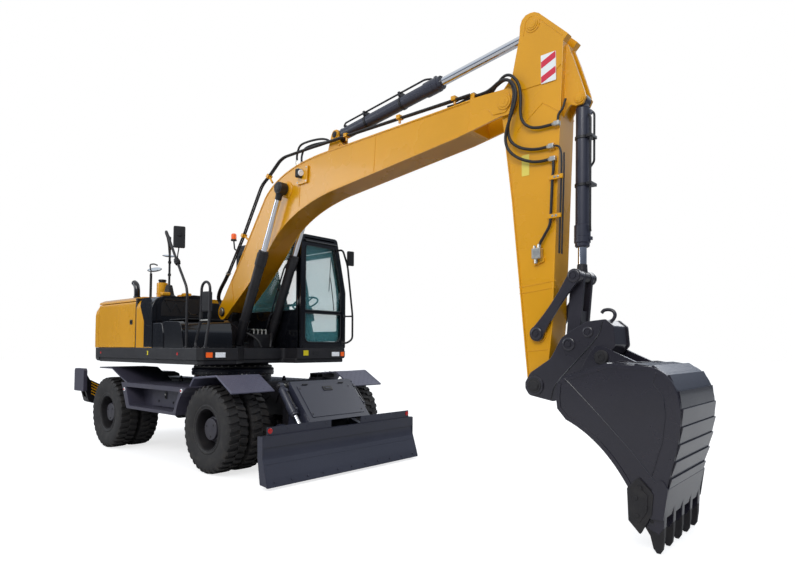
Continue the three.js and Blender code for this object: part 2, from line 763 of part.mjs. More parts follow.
function handrails() {
  const r = 17;
  const y = -1190;
  const hoopY = -1050;
  const foot = deckTop + 2 * seatGap;
  const post = tube([[769, y, foot], [769, y, 1900], [769, y, 2190], [740, y, 2290], [496, y, 2625],
    [187, y, 3069]], r, 6, 130);
  const hoop = tube([[860, hoopY - 60, foot], [860, hoopY - 60, 1600], [860, hoopY - 40, 1900], [860, hoopY, 2260], [895, hoopY, 2325],
    [970, hoopY, 2345], [1045, hoopY, 2325], [1080, hoopY, 2260], [1080, hoopY - 40, 1900],
    [1080, hoopY - 60, 1600], [1080, hoopY - 60, foot]], r, 6, 130);
  const cross = [
    bar([769, y, 1800], [860, hoopY - 45, 1800], r, 8),
    bar([855, hoopY - 45, 1800], [1085, hoopY - 45, 1800], r, 8),
  ];
  const mirror = box(505, 565, y - 85, y + 85, 2800, 3090);
  const stalk = bar([450, y, 2690], [535, y, 2830], r, 8);
  return join(post, hoop, cross, mirror, stalk);
}

function exhaustPipe() {
  const x = -850;
  const y = -1090;
  const pipe = tube([[x, y, bayTop - 20], [x, y, bayTop + 120], [x - 20, y, bayTop + 220], [x - 70, y, bayTop + 270]], 45, 16, 40);
  const flange = bar([x, y, bayTop - 20], [x, y, bayTop + 25], 80, 20);
  return join(pipe, flange);
}

// ---------------------------------------------------------------- cab

const cabOutline = (inset) => [
  [cabRight + inset, cabFloor + inset + seatGap],
  [cabLeft - inset, cabFloor + inset + seatGap],
  [cabLeft - inset, cabWaist],
  [cabTopLeft - inset, cabTop - 60],
  [cabTopLeft - inset - 50, cabTop - inset],
  [cabRight + inset + 40, cabTop - inset],
  [cabRight + inset, cabTop - 60],
];

// Y on the outside of the left wall at a height.
function leftWallAt(z) {
  return z < cabWaist ? cabLeft : cabLeft - ((cabLeft - cabTopLeft) * (z - cabWaist)) / (cabTop - 60 - cabWaist);
}

const windshieldOpening = { y0: cabRight + 80, y1: cabLeft - 100, z0: 1590, z1: 3000, bar0: 2010, bar1: 2055 };
const rightOpening = { x0: cabRear + 70, x1: cabFront - 100, z0: 2050, z1: 2990 };
const rearOpening = { y0: cabRight + 80, y1: 1000, z0: 2150, z1: 2980 };
const doorOpening = { z0: 1600, z1: 2990 };

function cabShell() {
  const shell = cut(slabX(cabOutline(0), cabRear, cabFront),
    slabX(cabOutline(cabWall), cabRear + cabWall, cabFront - cabWall));
  const w = windshieldOpening;
  const front = [
    slabX([[w.y0, w.z0], [w.y1, w.z0], [w.y1, w.bar0], [w.y0, w.bar0]], cabFront - 80, cabFront + 20),
    slabX([[w.y0, w.bar1], [w.y1, w.bar1], [w.y1, cabWaist], [leftWallAt(w.z1) - 95, w.z1], [w.y0, w.z1]],
      cabFront - 80, cabFront + 20),
  ];
  const right = box(rightOpening.x0, rightOpening.x1, cabRight - 20, cabRight + 80, rightOpening.z0, rightOpening.z1);
  const rear = box(cabRear - 20, cabRear + 80, rearOpening.y0, rearOpening.y1, rearOpening.z0, rearOpening.z1);
  const quarter = box(cabRear + 100, doorRear - 90, 900, cabLeft + 20, 2150, doorOpening.z1 - 20);
  const door = box(doorRear, doorFront, 900, cabLeft + 20, doorOpening.z0, doorOpening.z1);
  const footwell = box(doorRear + 40, cabFront - cabWall - 20, 420, 1100, cabFloor + 30, cabFloor + cabWall + 10);
  const stub = box(doorRear - 5, doorRear + doorGap + 40, cabLeft - 30, cabLeft - 5, doorOpening.z0 - 10,
    doorOpening.z0 + doorGap - seatGap);
  return join(cut(shell, front, right, rear, quarter, door, footwell), stub, cabGuard());
}

// The rail round the door's front edge, with the mirror on it.
function cabGuard() {
  const r = 15;
  const rail = tube([[cabFront - 10, 1035, 2989], [1240, 1062, 2992], [1262, 1144, 2757], [1262, 1255, 2006],
    [1258, 1259, 1640], [1180, 1215, 1581], [cabFront - 10, 1160, 1581]], r, 8, 90, 0.3);
  const cross = bar([cabFront - 10, 1160, 1992], [1262, 1255, 1992], r, 8);
  const mirror = box(1279, 1313, 1118, 1234, 2752, 2984);
  const stalk = bar([1262, 1144, 2800], [1290, 1160, 2830], r, 8);
  return join(rail, cross, mirror, stalk);
}

// A band that follows the left wall of the cab between two heights.
function leftBand(z0, z1, outside, inside, x0, x1) {
  const heights = [z0, cabWaist, z1];
  const out = heights.map((z) => [leftWallAt(z) - outside, z]);
  const back = heights.map((z) => [leftWallAt(z) - inside, z]).reverse();
  return slabX([...out, ...back], x0, x1);
}

function cabDoor() {
  const panel = leftBand(doorOpening.z0 + doorGap, doorOpening.z1 - doorGap, 0, 42,
    doorRear + doorGap, doorFront - doorGap);
  const window = box(doorRear + 80, doorFront - 80, 900, cabLeft + 50, 1760, doorOpening.z1 - 80);
  const handle = box(doorFront - 70, doorFront - 30, cabLeft - 4, cabLeft + 14, 1990, 2030);
  return join(cut(panel, window), handle);
}

function doorGlass() {
  return leftBand(1760 + seatGap, doorOpening.z1 - 80 - seatGap, 18, 18 + glassThickness,
    doorRear + 80 + seatGap, doorFront - 80 - seatGap);
}

function windshieldGlass() {
  const w = windshieldOpening;
  return slabX([
    [w.y0 - 15, w.z0 - 15],
    [w.y1 + 15, w.z0 - 15],
    [w.y1 + 15, cabWaist],
    [leftWallAt(w.z1) - 80, w.z1 + 15],
    [w.y0 - 15, w.z1 + 15],
  ], cabFront - cabWall - seatGap - glassThickness, cabFront - cabWall - seatGap);
}

function rightGlass() {
  const o = rightOpening;
  return box(o.x0 - 15, o.x1 + 15, cabRight + cabWall + seatGap, cabRight + cabWall + seatGap + glassThickness,
    o.z0 - 15, o.z1 + 15);
}

function rearGlass() {
  const o = rearOpening;
  return box(cabRear + cabWall + seatGap, cabRear + cabWall + seatGap + glassThickness, o.y0 - 15, o.y1 + 15,
    o.z0 - 15, o.z1 + 15);
}

function operatorSeat() {
  const y = (cabRight + cabLeft) / 2;
  const floor = cabFloor + cabWall + 2 * seatGap;
  const base = box(-150, 250, y - 180, y + 180, floor, floor + 330);
  const cushion = box(-190, 320, y - 250, y + 250, floor + 320, floor + 460);
  const back = slabY([[-230, floor + 430], [-100, floor + 430], [-190, floor + 1080], [-300, floor + 1080]], y - 240, y + 240);
  const headrest = box(-320, -220, y - 140, y + 140, floor + 1070, floor + 1260);
  const consoles = bothSides((side) => box(-120, 400, y + side * 240, y + side * 340, floor + 400, floor + 640));
  return join(base, cushion, back, headrest, consoles);
}

// ---------------------------------------------------------------- boom

function boomOutline() {
  const shape = new THREE.Shape();
  shape.absarc(boomFoot[0], boomFoot[1], boomFootRadius, 2.5, 5.4, false);
  shape.lineTo(568, 2378);
  shape.quadraticCurveTo(900, 2660, 1098, 2886);
  shape.quadraticCurveTo(1480, 3330, 2333, 3449);
  shape.lineTo(4224, 3664);
  shape.lineTo(4760, 3756);
  shape.absarc(boomHead[0], boomHead[1], boomHeadRadius, 4.4, 7.9, false);
  shape.lineTo(4500, 4021);
  shape.lineTo(2221, 3970);
  shape.quadraticCurveTo(1300, 3950, 960, 3590);
  shape.lineTo(551, 3022);
  shape.quadraticCurveTo(380, 2780, 14, 2301);
  return shape;
}

function boomSolid() {
  const body = slabY(boomOutline(), -boomHalf, boomHalf);
  const headSlot = box(4430, 5000, -(armHalf + sideGap), armHalf + sideGap, 3600, 4200);
  const footSlot = join(
    pin(boomFoot, boomFootRadius + 60, -(105 + sideGap), 105 + sideGap, 24),
    box(boomFoot[0] - 200, boomFoot[0] + 60, -(105 + sideGap), 105 + sideGap, boomFoot[1] - 200, boomFoot[1] + 100),
  );
  const bosses = pin(boomCylinderEye, 85, -(boomCylinderY - 60 - sideGap), boomCylinderY - 60 - sideGap, 20);
  const footHole = pin(boomFoot, 50 + runGap, -boomHalf - 5, boomHalf + 5, 16);
  const headHole = pin(boomHead, 55 + runGap, -boomHalf - 5, boomHalf + 5, 16);
  const lugs = [-1, 1].map((k) => slabY([
    [armCylinderFoot[0] - 130, 3960],
    [armCylinderFoot[0] - 70, armCylinderFoot[1] + 10],
    [armCylinderFoot[0] - 40, armCylinderFoot[1] + 62],
    [armCylinderFoot[0] + 40, armCylinderFoot[1] + 62],
    [armCylinderFoot[0] + 58, armCylinderFoot[1] + 10],
    [armCylinderFoot[0] + 60, armCylinderFoot[1] - 80],
    [armCylinderFoot[0] + 200, 3965],
  ], k * (52 + sideGap), k * (52 + sideGap + 26)));
  const cylinderPin = pin(armCylinderFoot, 38, -90, 90);
  const clamp = box(clampFace - 50, clampFace - seatGap, -130, 30, 4005, clampHeight + 25);
  return join(clamp, cut(body, headSlot, footSlot, footHole, headHole), bosses, lugs, cylinderPin);
}

function addBoomCylinders(parent) {
  const sizes = {
    length: spanOf(boomCylinderFoot, boomCylinderEye),
    barrelRadius: boomBarrelRadius,
    rodRadius: 38, barrelLength: 1460, eyeRadius: 80, eyeHalf: 60, footHalf: 60, footPin: 40,
    engaged: 520, retract: 680,
  };
  const pair = cylinderPair({ ...sizes, footPin: 0 });
  const group = aimedGroup(parent, boomCylinderFoot, boomCylinderEye, 0);
  const barrels = bothSides((side) => pair.barrel.translate([0, side * boomCylinderY, 0]));
  const sharedPin = bar([0, -boomCylinderY, 0], [0, boomCylinderY, 0], sizes.footPin, 16);
  addMesh(group, 'boom_barrels', join(barrels, sharedPin), black());
  for (const side of [1, -1]) {
    addMesh(group, `boom_rod_${sideName(side)}`, pair.rod.translate([0, side * boomCylinderY, 0]), chrome());
  }
}

function addArmCylinder(parent) {
  const group = aimedGroup(parent, armCylinderFoot, armHeel, 0);
  const pair = cylinderPair({
    length: spanOf(armCylinderFoot, armHeel),
    barrelRadius: 72, rodRadius: 45, barrelLength: 1640, eyeRadius: 66, eyeHalf: 52, footHalf: 52, footPin: 38,
    engaged: 560, retract: 740,
  });
  addMesh(group, 'arm_barrel', pair.barrel, black());
  addMesh(group, 'arm_rod', pair.rod, chrome());
}

// ---------------------------------------------------------------- arm and bucket linkage

function armSolid() {
  const shape = new THREE.Shape();
  shape.absarc(armFoot[0], armFoot[1], 92, Math.PI, 2 * Math.PI, false);
  shape.lineTo(5262, 1700);
  shape.lineTo(5392, 4300);
  shape.lineTo(5440, 4345);
  shape.lineTo(5150, 4645);
  shape.lineTo(5105, 4672);
  shape.lineTo(5060, 4680);
  shape.lineTo(5010, 4672);
  shape.lineTo(4972, 4640);
  shape.lineTo(4952, 4585);
  shape.lineTo(4945, 4480);
  shape.lineTo(4867, 4136);
  shape.lineTo(4700, 3960);
  shape.absarc(boomHead[0], boomHead[1], 115, 2.3, 4.2, false);
  shape.lineTo(4780, 3514);
  shape.lineTo(4853, 2918);
  const body = slabY(shape, -armHalf, armHalf);
  const heelSlot = box(4700, 5320, -(52 + sideGap), 52 + sideGap, 4290, 4800);
  const lugs = [-1, 1].map((k) => slabY([
    [5336, 3575],
    [5425, bucketCylinderFoot[1] - 33],
    [bucketCylinderFoot[0] - 32, bucketCylinderFoot[1] - 60],
    [bucketCylinderFoot[0] + 32, bucketCylinderFoot[1] - 54],
    [bucketCylinderFoot[0] + 62, bucketCylinderFoot[1]],
    [bucketCylinderFoot[0] + 48, bucketCylinderFoot[1] + 56],
    [5467, 4110],
    [5410, 4320],
    [5355, 4155],
  ], k * (50 + sideGap), k * (50 + sideGap + 26)));
  const cylinderPin = pin(bucketCylinderFoot, 38, -88, 88);
  const headPin = pin(boomHead, 55, -boomHalf - 20, boomHalf + 20, 16);
  const guideHole = pin(guidePivot, 38 + runGap, -armHalf - 5, armHalf + 5, 16);
  const footPin = pin(armFoot, 42, -armHalf - 70, armHalf + 70, 16);
  const fittings = Object.values(armFittings).map(([x, z]) => box(x, x + fittingLength,
    -(armHalf - 5), -(fittingY + 20), z - 22, z + 22));
  return join(cut(join(body, lugs), heelSlot, guideHole), cylinderPin, headPin, footPin, fittings);
}

const guideY = armHalf + sideGap;
const guideThickness = 30;

function guideLinks() {
  const bars = bothSides((side) => [
    link(guidePivot, guideHead, 70, 66, side * guideY, side * (guideY + guideThickness)),
    pin(guideHead, 40, side * 112, side * (guideY + 10)),
  ]).flat();
  return join(bars, pin(guidePivot, 38, -guideY - 10, guideY + 10, 16));
}

function powerLink() {
  const cheeks = bothSides((side) => [
    link(guideHead, couplerPin, 62, 58, side * 64, side * 105),
    cut(pin(guideHead, 62, side * 105, side * (guideY - sideGap)), pin(guideHead, 40 + runGap, side * 100, side * 300)),
  ]).flat();
  const holes = bothSides((side) => pin(guideHead, 40 + runGap, side * 108, side * 300));
  const webStart = offsetAlong(guideHead, couplerPin, 330);
  const webEnd = offsetAlong(guideHead, couplerPin, 520);
  const web = link(webStart, webEnd, 45, 45, -70, 70);
  return cut(join(cheeks, web), holes);
}

function quickCoupler() {
  const sidePlates = bothSides((side) => slabY([
    [armFoot[0] - 100, armFoot[1] - 30],
    [armFoot[0] - 60, armFoot[1] - 90],
    [5292, 1036],
    [5400, 1190],
    [5560, 1330],
    [5790, 1420],
    [5842, 1500],
    [5800, 1640],
    [5700, 1740],
    [5590, 1740],
    [couplerPin[0], couplerPin[1] + 75],
    [couplerPin[0] - 70, couplerPin[1] + 30],
    [5260, 1390],
    [armFoot[0] - 70, armFoot[1] + 75],
    [armFoot[0] - 105, armFoot[1] + 20],
  ], side * (armHalf + sideGap), side * (armHalf + sideGap + 30)));
  const crossBody = slabY([
    [5600, 1345],
    [5780, 1415],
    [5820, 1500],
    [5790, 1620],
    [5700, 1720],
    [5600, 1700],
  ], -armHalf - 10, armHalf + 10);
  const hook = cut(
    slabY(linkOutline([5700, 1700], [5777, 1800], 60, 48), -20, 20),
    pin([5777, 1800], 26, -30, 30),
    slabY([[5785, 1806], [5790, 1774], [5850, 1790], [5850, 1822]], -30, 30),
  );
  const hole = pin(armFoot, 42 + runGap, -armHalf - 90, armHalf + 90, 16);
  return cut(join(sidePlates, crossBody, hook), hole);
}

function bucketSolid() {
  const outline = new THREE.Shape();
  outline.moveTo(5507, 1276);
  outline.lineTo(5495, 971);
  outline.lineTo(5769, 802);
  outline.lineTo(5916, 660);
  outline.lineTo(6027, 451);
  outline.lineTo(6135, 250);
  outline.lineTo(6240, 240);
  outline.lineTo(6321, 484);
  outline.lineTo(6400, 720);
  outline.quadraticCurveTo(6470, 1000, 6450, 1120);
  outline.quadraticCurveTo(6420, 1330, 6245, 1391);
  outline.lineTo(5900, 1420);
  const inner = new THREE.Shape();
  inner.moveTo(5400, 1200);
  inner.lineTo(5400, 700);
  inner.lineTo(6030, 200);
  inner.lineTo(6215, 190);
  inner.lineTo(6290, 480);
  inner.lineTo(6368, 730);
  inner.quadraticCurveTo(6430, 1000, 6415, 1100);
  inner.quadraticCurveTo(6390, 1300, 6240, 1355);
  inner.lineTo(5900, 1385);
  inner.lineTo(5560, 1250);
  const shell = cut(slabY(outline, -bucketHalf, bucketHalf), slabY(inner, -bucketHalf + 25, bucketHalf - 25));
  const earY = armHalf + sideGap + 30 + seatGap;
  const ears = bothSides((side) => slabY([
    [armFoot[0] + 395, armFoot[1] + 60],
    [5560, 1240],
    [5900, 1370],
    [6120, 1390],
    [6060, 1440],
    [bucketEar[0] + 120, bucketEar[1] + 70],
    [bucketEar[0] + 30, bucketEar[1] + 95],
    [bucketEar[0] - 60, bucketEar[1] + 80],
    [5520, 1330],
  ], side * earY, side * (earY + 35)));
  const teeth = [-2, -1, 0, 1, 2].map((k) => {
    const y = k * 228;
    return slabY([
      [6100, 330],
      [6110, 250],
      [6190, 120],
      [6258, 6],
      [6284, 4],
      [6290, 130],
      [6330, 420],
      [6322, 480],
      [6290, 480],
    ], y - 38, y + 38);
  });
  const cutters = bothSides((side) => slabY([
    [5930, 560],
    [6060, 300],
    [6132, 126],
    [6170, 180],
    [6160, 330],
    [6040, 560],
    [5960, 640],
  ], side * (bucketHalf - 5), side * (bucketHalf + 24)));
  return join(shell, ears, teeth, cutters);
}

function addBucketCylinder(parent) {
  const group = aimedGroup(parent, bucketCylinderFoot, guideHead, 0);
  const pair = cylinderPair({
    length: spanOf(bucketCylinderFoot, guideHead),
    barrelRadius: 62, rodRadius: 38, barrelLength: 1330, eyeRadius: 60, eyeHalf: 52, footHalf: 50, footPin: 38,
    engaged: 1050, retract: 80,
  });
  addMesh(group, 'bucket_barrel', pair.barrel, black());
  addMesh(group, 'bucket_rod', pair.rod, chrome());
}

// ---------------------------------------------------------------- hoses over the boom head

// Each route starts square out of the clamp on the boom's top and ends square in the back of the
// arm's fitting.
const hoseRadius = 14;
const clampFace = 4420;
const clampHeight = 4075;
const armFittings = { large: [5250, 3224], small: [5235, 3344], loop: [5290, 3540] };
const fittingY = armHalf + 24;
const fittingLength = 70;

function hoseRoute(name, clampY, middle) {
  const [x, z] = armFittings[name];
  return [
    [clampFace, clampY, clampHeight],
    [clampFace + 70, clampY, clampHeight],
    ...middle,
    [x - 70, -fittingY, z],
    [x - seatGap, -fittingY, z],
  ];
}

const hoseRoutes = {
  elbow_hose_large: hoseRoute('large', -98, [
    [4560, -104, 4078], [4640, -130, 4086], [4720, -172, 4090], [4800, -210, 4084], [4868, -228, 4058],
    [4920, -232, 4012], [4950, -232, 3954], [4958, -232, 3888], [4948, -232, 3820], [4924, -231, 3750],
    [4894, -229, 3682], [4864, -226, 3614], [4842, -222, 3546], [4836, -216, 3476], [4852, -208, 3408],
    [4894, -198, 3348], [4954, -187, 3298], [5026, -175, 3260], [5102, -167, 3234]]),
  elbow_hose_small: hoseRoute('small', -52, [
    [4560, -58, 4084], [4640, -80, 4104], [4716, -110, 4116], [4788, -146, 4108], [4850, -178, 4074],
    [4894, -194, 4018], [4914, -199, 3952], [4914, -199, 3886], [4902, -199, 3820], [4884, -199, 3752],
    [4866, -198, 3682], [4852, -196, 3612], [4852, -192, 3544], [4874, -187, 3480], [4920, -180, 3428],
    [4982, -173, 3388], [5056, -167, 3362], [5110, -165, 3350]]),
  elbow_hose_loop: hoseRoute('loop', -6, [
    [4560, -20, 4090], [4636, -58, 4122], [4712, -104, 4146], [4790, -150, 4148], [4862, -184, 4122],
    [4922, -198, 4072], [4964, -200, 4006], [4984, -200, 3934], [4990, -200, 3862], [4988, -199, 3790],
    [4986, -197, 3720], [4996, -192, 3654], [5030, -184, 3598], [5086, -174, 3560], [5154, -167, 3543]]),
};

// ---------------------------------------------------------------- assembly

const machine = new THREE.Group();
const undercarriage = groupAt(machine, -machineMiddle, 0, 0);
const upper = groupAt(machine, -machineMiddle, 0, 0);

addMesh(undercarriage, 'chassis_frame', chassisFrame(), black());
const ringGroup = groupAt(undercarriage, 0, 0, ringSeat + seatGap);
ringGroup.rotation.x = Math.PI / 2;
addMesh(ringGroup, 'slew_ring', slewRing(), steelGrey());
addMesh(undercarriage, 'front_axle', frontAxle(), black());
addMesh(undercarriage, 'rear_axle', rearAxle(), black());
for (const side of [1, -1]) {
  addMesh(undercarriage, `step_box_${sideName(side)}`, stepBox(side), black());
  addMesh(undercarriage, `knuckle_${sideName(side)}`, knuckle(side), black());
  addWheel(undercarriage, 'front', side);
  addWheel(undercarriage, 'rear', side);
  addMesh(undercarriage, `outrigger_${sideName(side)}`, outriggerLeg(side), black());
}
addMesh(undercarriage, 'front_fenders', frontFenders(), steelGrey());
addMesh(undercarriage, 'nose_locker', noseLocker(), steelGrey());
addMesh(undercarriage, 'blade', blade(), steelGrey());
addBladeCylinders(undercarriage);
addOutriggerCylinders(undercarriage);

addMesh(upper, 'upper_frame', join(upperFrame(), exhaustPipe()), black());
addMesh(upper, 'counterweight', counterweight(), ochre());
addMesh(upper, 'engine', engineBlock(), steelGrey());
addMesh(upper, 'hood', hoodLid(), black());
addMesh(upper, 'side_door_left', sideDoor(1), ochre());
addMesh(upper, 'side_door_right', sideDoor(-1), ochre());
addMesh(upper, 'tank', tankBox(), black());
addMesh(upper, 'handrail', handrails(), black());
addMesh(upper, 'cab_shell', cabShell(), black());
addMesh(upper, 'cab_door', cabDoor(), black());
addMesh(upper, 'door_glass', doorGlass(), glass());
addMesh(upper, 'windshield', windshieldGlass(), glass());
addMesh(upper, 'cab_right_glass', rightGlass(), glass());
addMesh(upper, 'rear_glass', rearGlass(), glass());
addMesh(upper, 'operator_seat', operatorSeat(), black());

addMesh(upper, 'boom', boomSolid(), ochre());
addBoomCylinders(upper);
addArmCylinder(upper);
addMesh(upper, 'arm', armSolid(), ochre());
addBucketCylinder(upper);
addMesh(upper, 'guide_links', guideLinks(), black());
addMesh(upper, 'power_link', powerLink(), black());
addMesh(upper, 'quick_coupler', quickCoupler(), black());
addMesh(upper, 'bucket', bucketSolid(), steelGrey());
for (const [name, route] of Object.entries(hoseRoutes)) {
  addMesh(upper, name, tube(route, hoseRadius, 8, 62), rubber());
}

export default machine;
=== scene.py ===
"""Wheeled excavator: the looks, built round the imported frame.

Lengths in the drawing calls are millimetres about the slew axis.
"""
import json
import math
from math import cos, pi, radians, sin
import bmesh
import bpy
from mathutils import Matrix, Vector

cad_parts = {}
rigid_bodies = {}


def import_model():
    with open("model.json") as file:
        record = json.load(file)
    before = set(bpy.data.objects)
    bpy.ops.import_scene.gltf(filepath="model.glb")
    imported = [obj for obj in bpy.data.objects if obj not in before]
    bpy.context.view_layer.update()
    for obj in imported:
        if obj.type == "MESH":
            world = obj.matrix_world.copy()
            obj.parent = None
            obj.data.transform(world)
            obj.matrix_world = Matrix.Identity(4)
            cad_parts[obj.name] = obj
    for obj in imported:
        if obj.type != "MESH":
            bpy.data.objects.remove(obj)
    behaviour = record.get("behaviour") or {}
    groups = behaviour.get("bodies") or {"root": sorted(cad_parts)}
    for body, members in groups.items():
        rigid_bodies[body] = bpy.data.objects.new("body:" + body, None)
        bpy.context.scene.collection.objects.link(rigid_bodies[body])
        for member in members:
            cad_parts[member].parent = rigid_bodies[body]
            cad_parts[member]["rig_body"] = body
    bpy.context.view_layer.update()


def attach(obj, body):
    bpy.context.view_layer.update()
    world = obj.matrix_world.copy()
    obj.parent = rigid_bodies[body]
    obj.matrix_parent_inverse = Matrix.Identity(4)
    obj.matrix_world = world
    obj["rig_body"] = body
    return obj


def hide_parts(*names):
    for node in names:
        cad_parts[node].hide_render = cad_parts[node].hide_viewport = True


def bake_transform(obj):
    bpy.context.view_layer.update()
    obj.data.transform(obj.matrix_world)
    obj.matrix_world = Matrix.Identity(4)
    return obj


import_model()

MIDDLE = 1867.0          # the row frame's origin, ahead of the slew axis
SIDES = ((1, "left"), (-1, "right"))
# pivots seen from the side, in X and Z
BLADE_PIVOT, BLADE_FOOT, BLADE_EYE, BLADE_Y = (1900, 520), (1890, 1040), (2340, 505), 565
BOOM_FOOT, BOOM_HEAD = (-60, 2040), (4800, 3880)
CYL_FOOT, CYL_EYE, CYL_Y = (480, 1490), (1450, 3620), 262
ARM_CYL_FOOT, ARM_HEEL = (2300, 4190), (5087, 4555)
ARM_FOOT, GUIDE, GUIDE_HEAD, COUPLER = (5105, 1172), (5122, 1643), (5486, 2144), (5432, 1546)
BUCKET_CYL_FOOT, BUCKET_EAR = (5512, 3749), (5738, 1436)
# the outriggers' pivots, in Y and Z, in the plane across LEG_X
LEG_X, LEG_PIVOT, LEG_FOOT, LEG_EYE = -2525, (430, 470), (330, 960), (905, 752)
KINGPIN_Y = 740


def place(p):
    return Vector(((p[0] - MIDDLE) / 1000, p[1] / 1000, p[2] / 1000))


# ---------------------------------------------------------------- camera

camera = bpy.data.objects.new("camera", bpy.data.cameras.new("camera"))
bpy.context.scene.collection.objects.link(camera)
camera.data.sensor_width = 36
camera.data.lens = 26.26
camera.data.shift_x = -0.0064
camera.data.shift_y = 0.0452
camera.data.clip_end = 300
camera.location = place((7649.5, -4966.3, 1508.8))
camera.rotation_euler = (radians(92.57), radians(-0.178), radians(40.80))
bpy.context.scene.camera = camera

# ---------------------------------------------------------------- materials


def srgb(r, g, b):
    return tuple((c / 255 / 12.92 if c <= 10 else ((c / 255 + 0.055) / 1.055) ** 2.4)
        for c in (r, g, b)) + (1.0,)


def node(nodes, kind, values=()):
    """A new shader node with its inputs set from (name, value) pairs."""
    made = nodes.new("ShaderNode" + kind)
    for name, value in values:
        made.inputs[name].default_value = value
    return made


def material(name, colour, rough, metal=0.0, vary=0.12, scale=6.0, bump=0.0, bump_scale=400.0, coat=0.0,
        dust=0.0, alpha=1.0, emit=0.0, rough_vary=0.25):
    m = bpy.data.materials.new(name)
    m.use_nodes = True
    nodes, links = m.node_tree.nodes, m.node_tree.links
    shader = nodes["Principled BSDF"]
    shader.inputs["Metallic"].default_value = metal
    shader.inputs["Coat Weight"].default_value = coat
    shader.inputs["Coat Roughness"].default_value = 0.08
    shader.inputs["Alpha"].default_value = alpha
    where = node(nodes, "TexCoord")
    noise = node(nodes, "TexNoise", [("Scale", scale), ("Detail", 6)])
    links.new(where.outputs["Object"], noise.inputs["Vector"])
    ramp = node(nodes, "ValToRGB")
    ramp.color_ramp.elements[0].position = 0.3
    ramp.color_ramp.elements[1].position = 0.7
    base = srgb(*colour)
    ramp.color_ramp.elements[0].color = tuple(c * (1 - vary) for c in base[:3]) + (1,)
    ramp.color_ramp.elements[1].color = tuple(min(1, c * (1 + vary)) for c in base[:3]) + (1,)
    links.new(noise.outputs["Fac"], ramp.inputs["Fac"])
    colour_out = ramp.outputs["Color"]
    if dust:
        grain = node(nodes, "TexNoise", [("Scale", 9), ("Detail", 10)])
        links.new(where.outputs["Object"], grain.inputs["Vector"])
        limit = node(nodes, "MapRange", [("From Min", 0.5), ("From Max", 0.85), ("To Max", dust)])
        links.new(grain.outputs["Fac"], limit.inputs["Value"])
        mix = node(nodes, "Mix")
        mix.data_type = "RGBA"
        mix.inputs[7].default_value = srgb(150, 140, 125)
        links.new(limit.outputs["Result"], mix.inputs[0])
        links.new(colour_out, mix.inputs[6])
        colour_out = mix.outputs[2]
    links.new(colour_out, shader.inputs["Base Color"])
    span = node(nodes, "MapRange", [("To Min", max(0.02, rough * (1 - rough_vary))),
        ("To Max", min(1, rough * (1 + rough_vary)))])
    links.new(noise.outputs["Fac"], span.inputs["Value"])
    links.new(span.outputs["Result"], shader.inputs["Roughness"])
    if bump:
        fine = node(nodes, "TexNoise", [("Scale", bump_scale), ("Detail", 3)])
        links.new(where.outputs["Object"], fine.inputs["Vector"])
        height = node(nodes, "Bump", [("Strength", bump), ("Distance", 0.001)])
        links.new(fine.outputs["Fac"], height.inputs["Height"])
        links.new(height.outputs["Normal"], shader.inputs["Normal"])
    if emit:
        shader.inputs["Emission Color"].default_value = base
        shader.inputs["Emission Strength"].default_value = emit
    return m


OCHRE = material("ochre_paint", (226, 160, 10), 0.27, vary=0.05, scale=1.6, bump=0.05, bump_scale=90,
    coat=0.3)
GLOSS = material("black_gloss", (15, 16, 21), 0.16, vary=0.12, scale=2, coat=0.35)
BLACK = material("black_paint", (27, 26, 30), 0.4, vary=0.12, scale=3, bump=0.08, bump_scale=140, dust=0.04)
BLUE = material("blue_grey_paint", (48, 50, 64), 0.36, vary=0.08, scale=2, bump=0.06, bump_scale=120,
    coat=0.15)
HUB = material("hub_paint", (50, 48, 56), 0.38, vary=0.1, scale=4, bump=0.08, bump_scale=160, dust=0.05)
LINK = material("linkage_paint", (44, 42, 50), 0.3, vary=0.1, scale=3, bump=0.06, bump_scale=140, coat=0.25)
PALE = material("pale_yellow_plate", (232, 214, 96), 0.4, vary=0.04)
STEP = material("grey_steel_paint", (66, 64, 78), 0.42, vary=0.08, scale=3, bump=0.06, bump_scale=140,
    dust=0.05)
PLATE = material("tread_plate", (86, 86, 104), 0.38, vary=0.08, scale=3, dust=0.04)
CAST = material("cast_black", (33, 31, 33), 0.5, vary=0.15, scale=5, bump=0.25, bump_scale=220, dust=0.05)
BUCKET = material("bucket_paint", (36, 34, 44), 0.24, vary=0.12, scale=3, bump=0.05, bump_scale=120,
    coat=0.4)
WORN = material("worn_steel", (120, 116, 112), 0.35, metal=0.8, vary=0.25, scale=14, bump=0.1,
    bump_scale=150)
RUBBER = material("tyre_rubber", (36, 34, 34), 0.7, vary=0.2, scale=8, bump=0.3, bump_scale=260, dust=0.1)
HOSE = material("hose_rubber", (28, 27, 29), 0.5, vary=0.1, scale=20, bump=0.15, bump_scale=500)
PLASTIC = material("black_plastic", (22, 22, 25), 0.55, vary=0.1, scale=8, bump=0.2, bump_scale=500)
CHROME = material("chrome", (225, 226, 230), 0.08, metal=1.0, vary=0.02)
SILVER = material("zinc_plate", (200, 198, 190), 0.3, metal=0.9, vary=0.15, scale=30)
GLASS = material("tinted_glass", (120, 205, 212), 0.02, vary=0.04, alpha=0.22, coat=0.5)
MIRROR = material("mirror_glass", (215, 220, 225), 0.04, metal=1.0, vary=0.01)
RED = material("red_lens", (190, 22, 24), 0.25, vary=0.1, scale=60, coat=0.4)
AMBER = material("amber_lens", (240, 96, 20), 0.22, vary=0.1, scale=60, coat=0.4, emit=0.25)
WHITE = material("white_lens", (235, 238, 242), 0.15, vary=0.12, scale=60, coat=0.4, emit=0.15)
MARK = material("marker_yellow", (235, 215, 20), 0.4, vary=0.05)
STRIPE_RED = material("stripe_red", (214, 44, 72), 0.4, vary=0.05)
STRIPE_WHITE = material("stripe_white", (240, 243, 243), 0.4, vary=0.03)
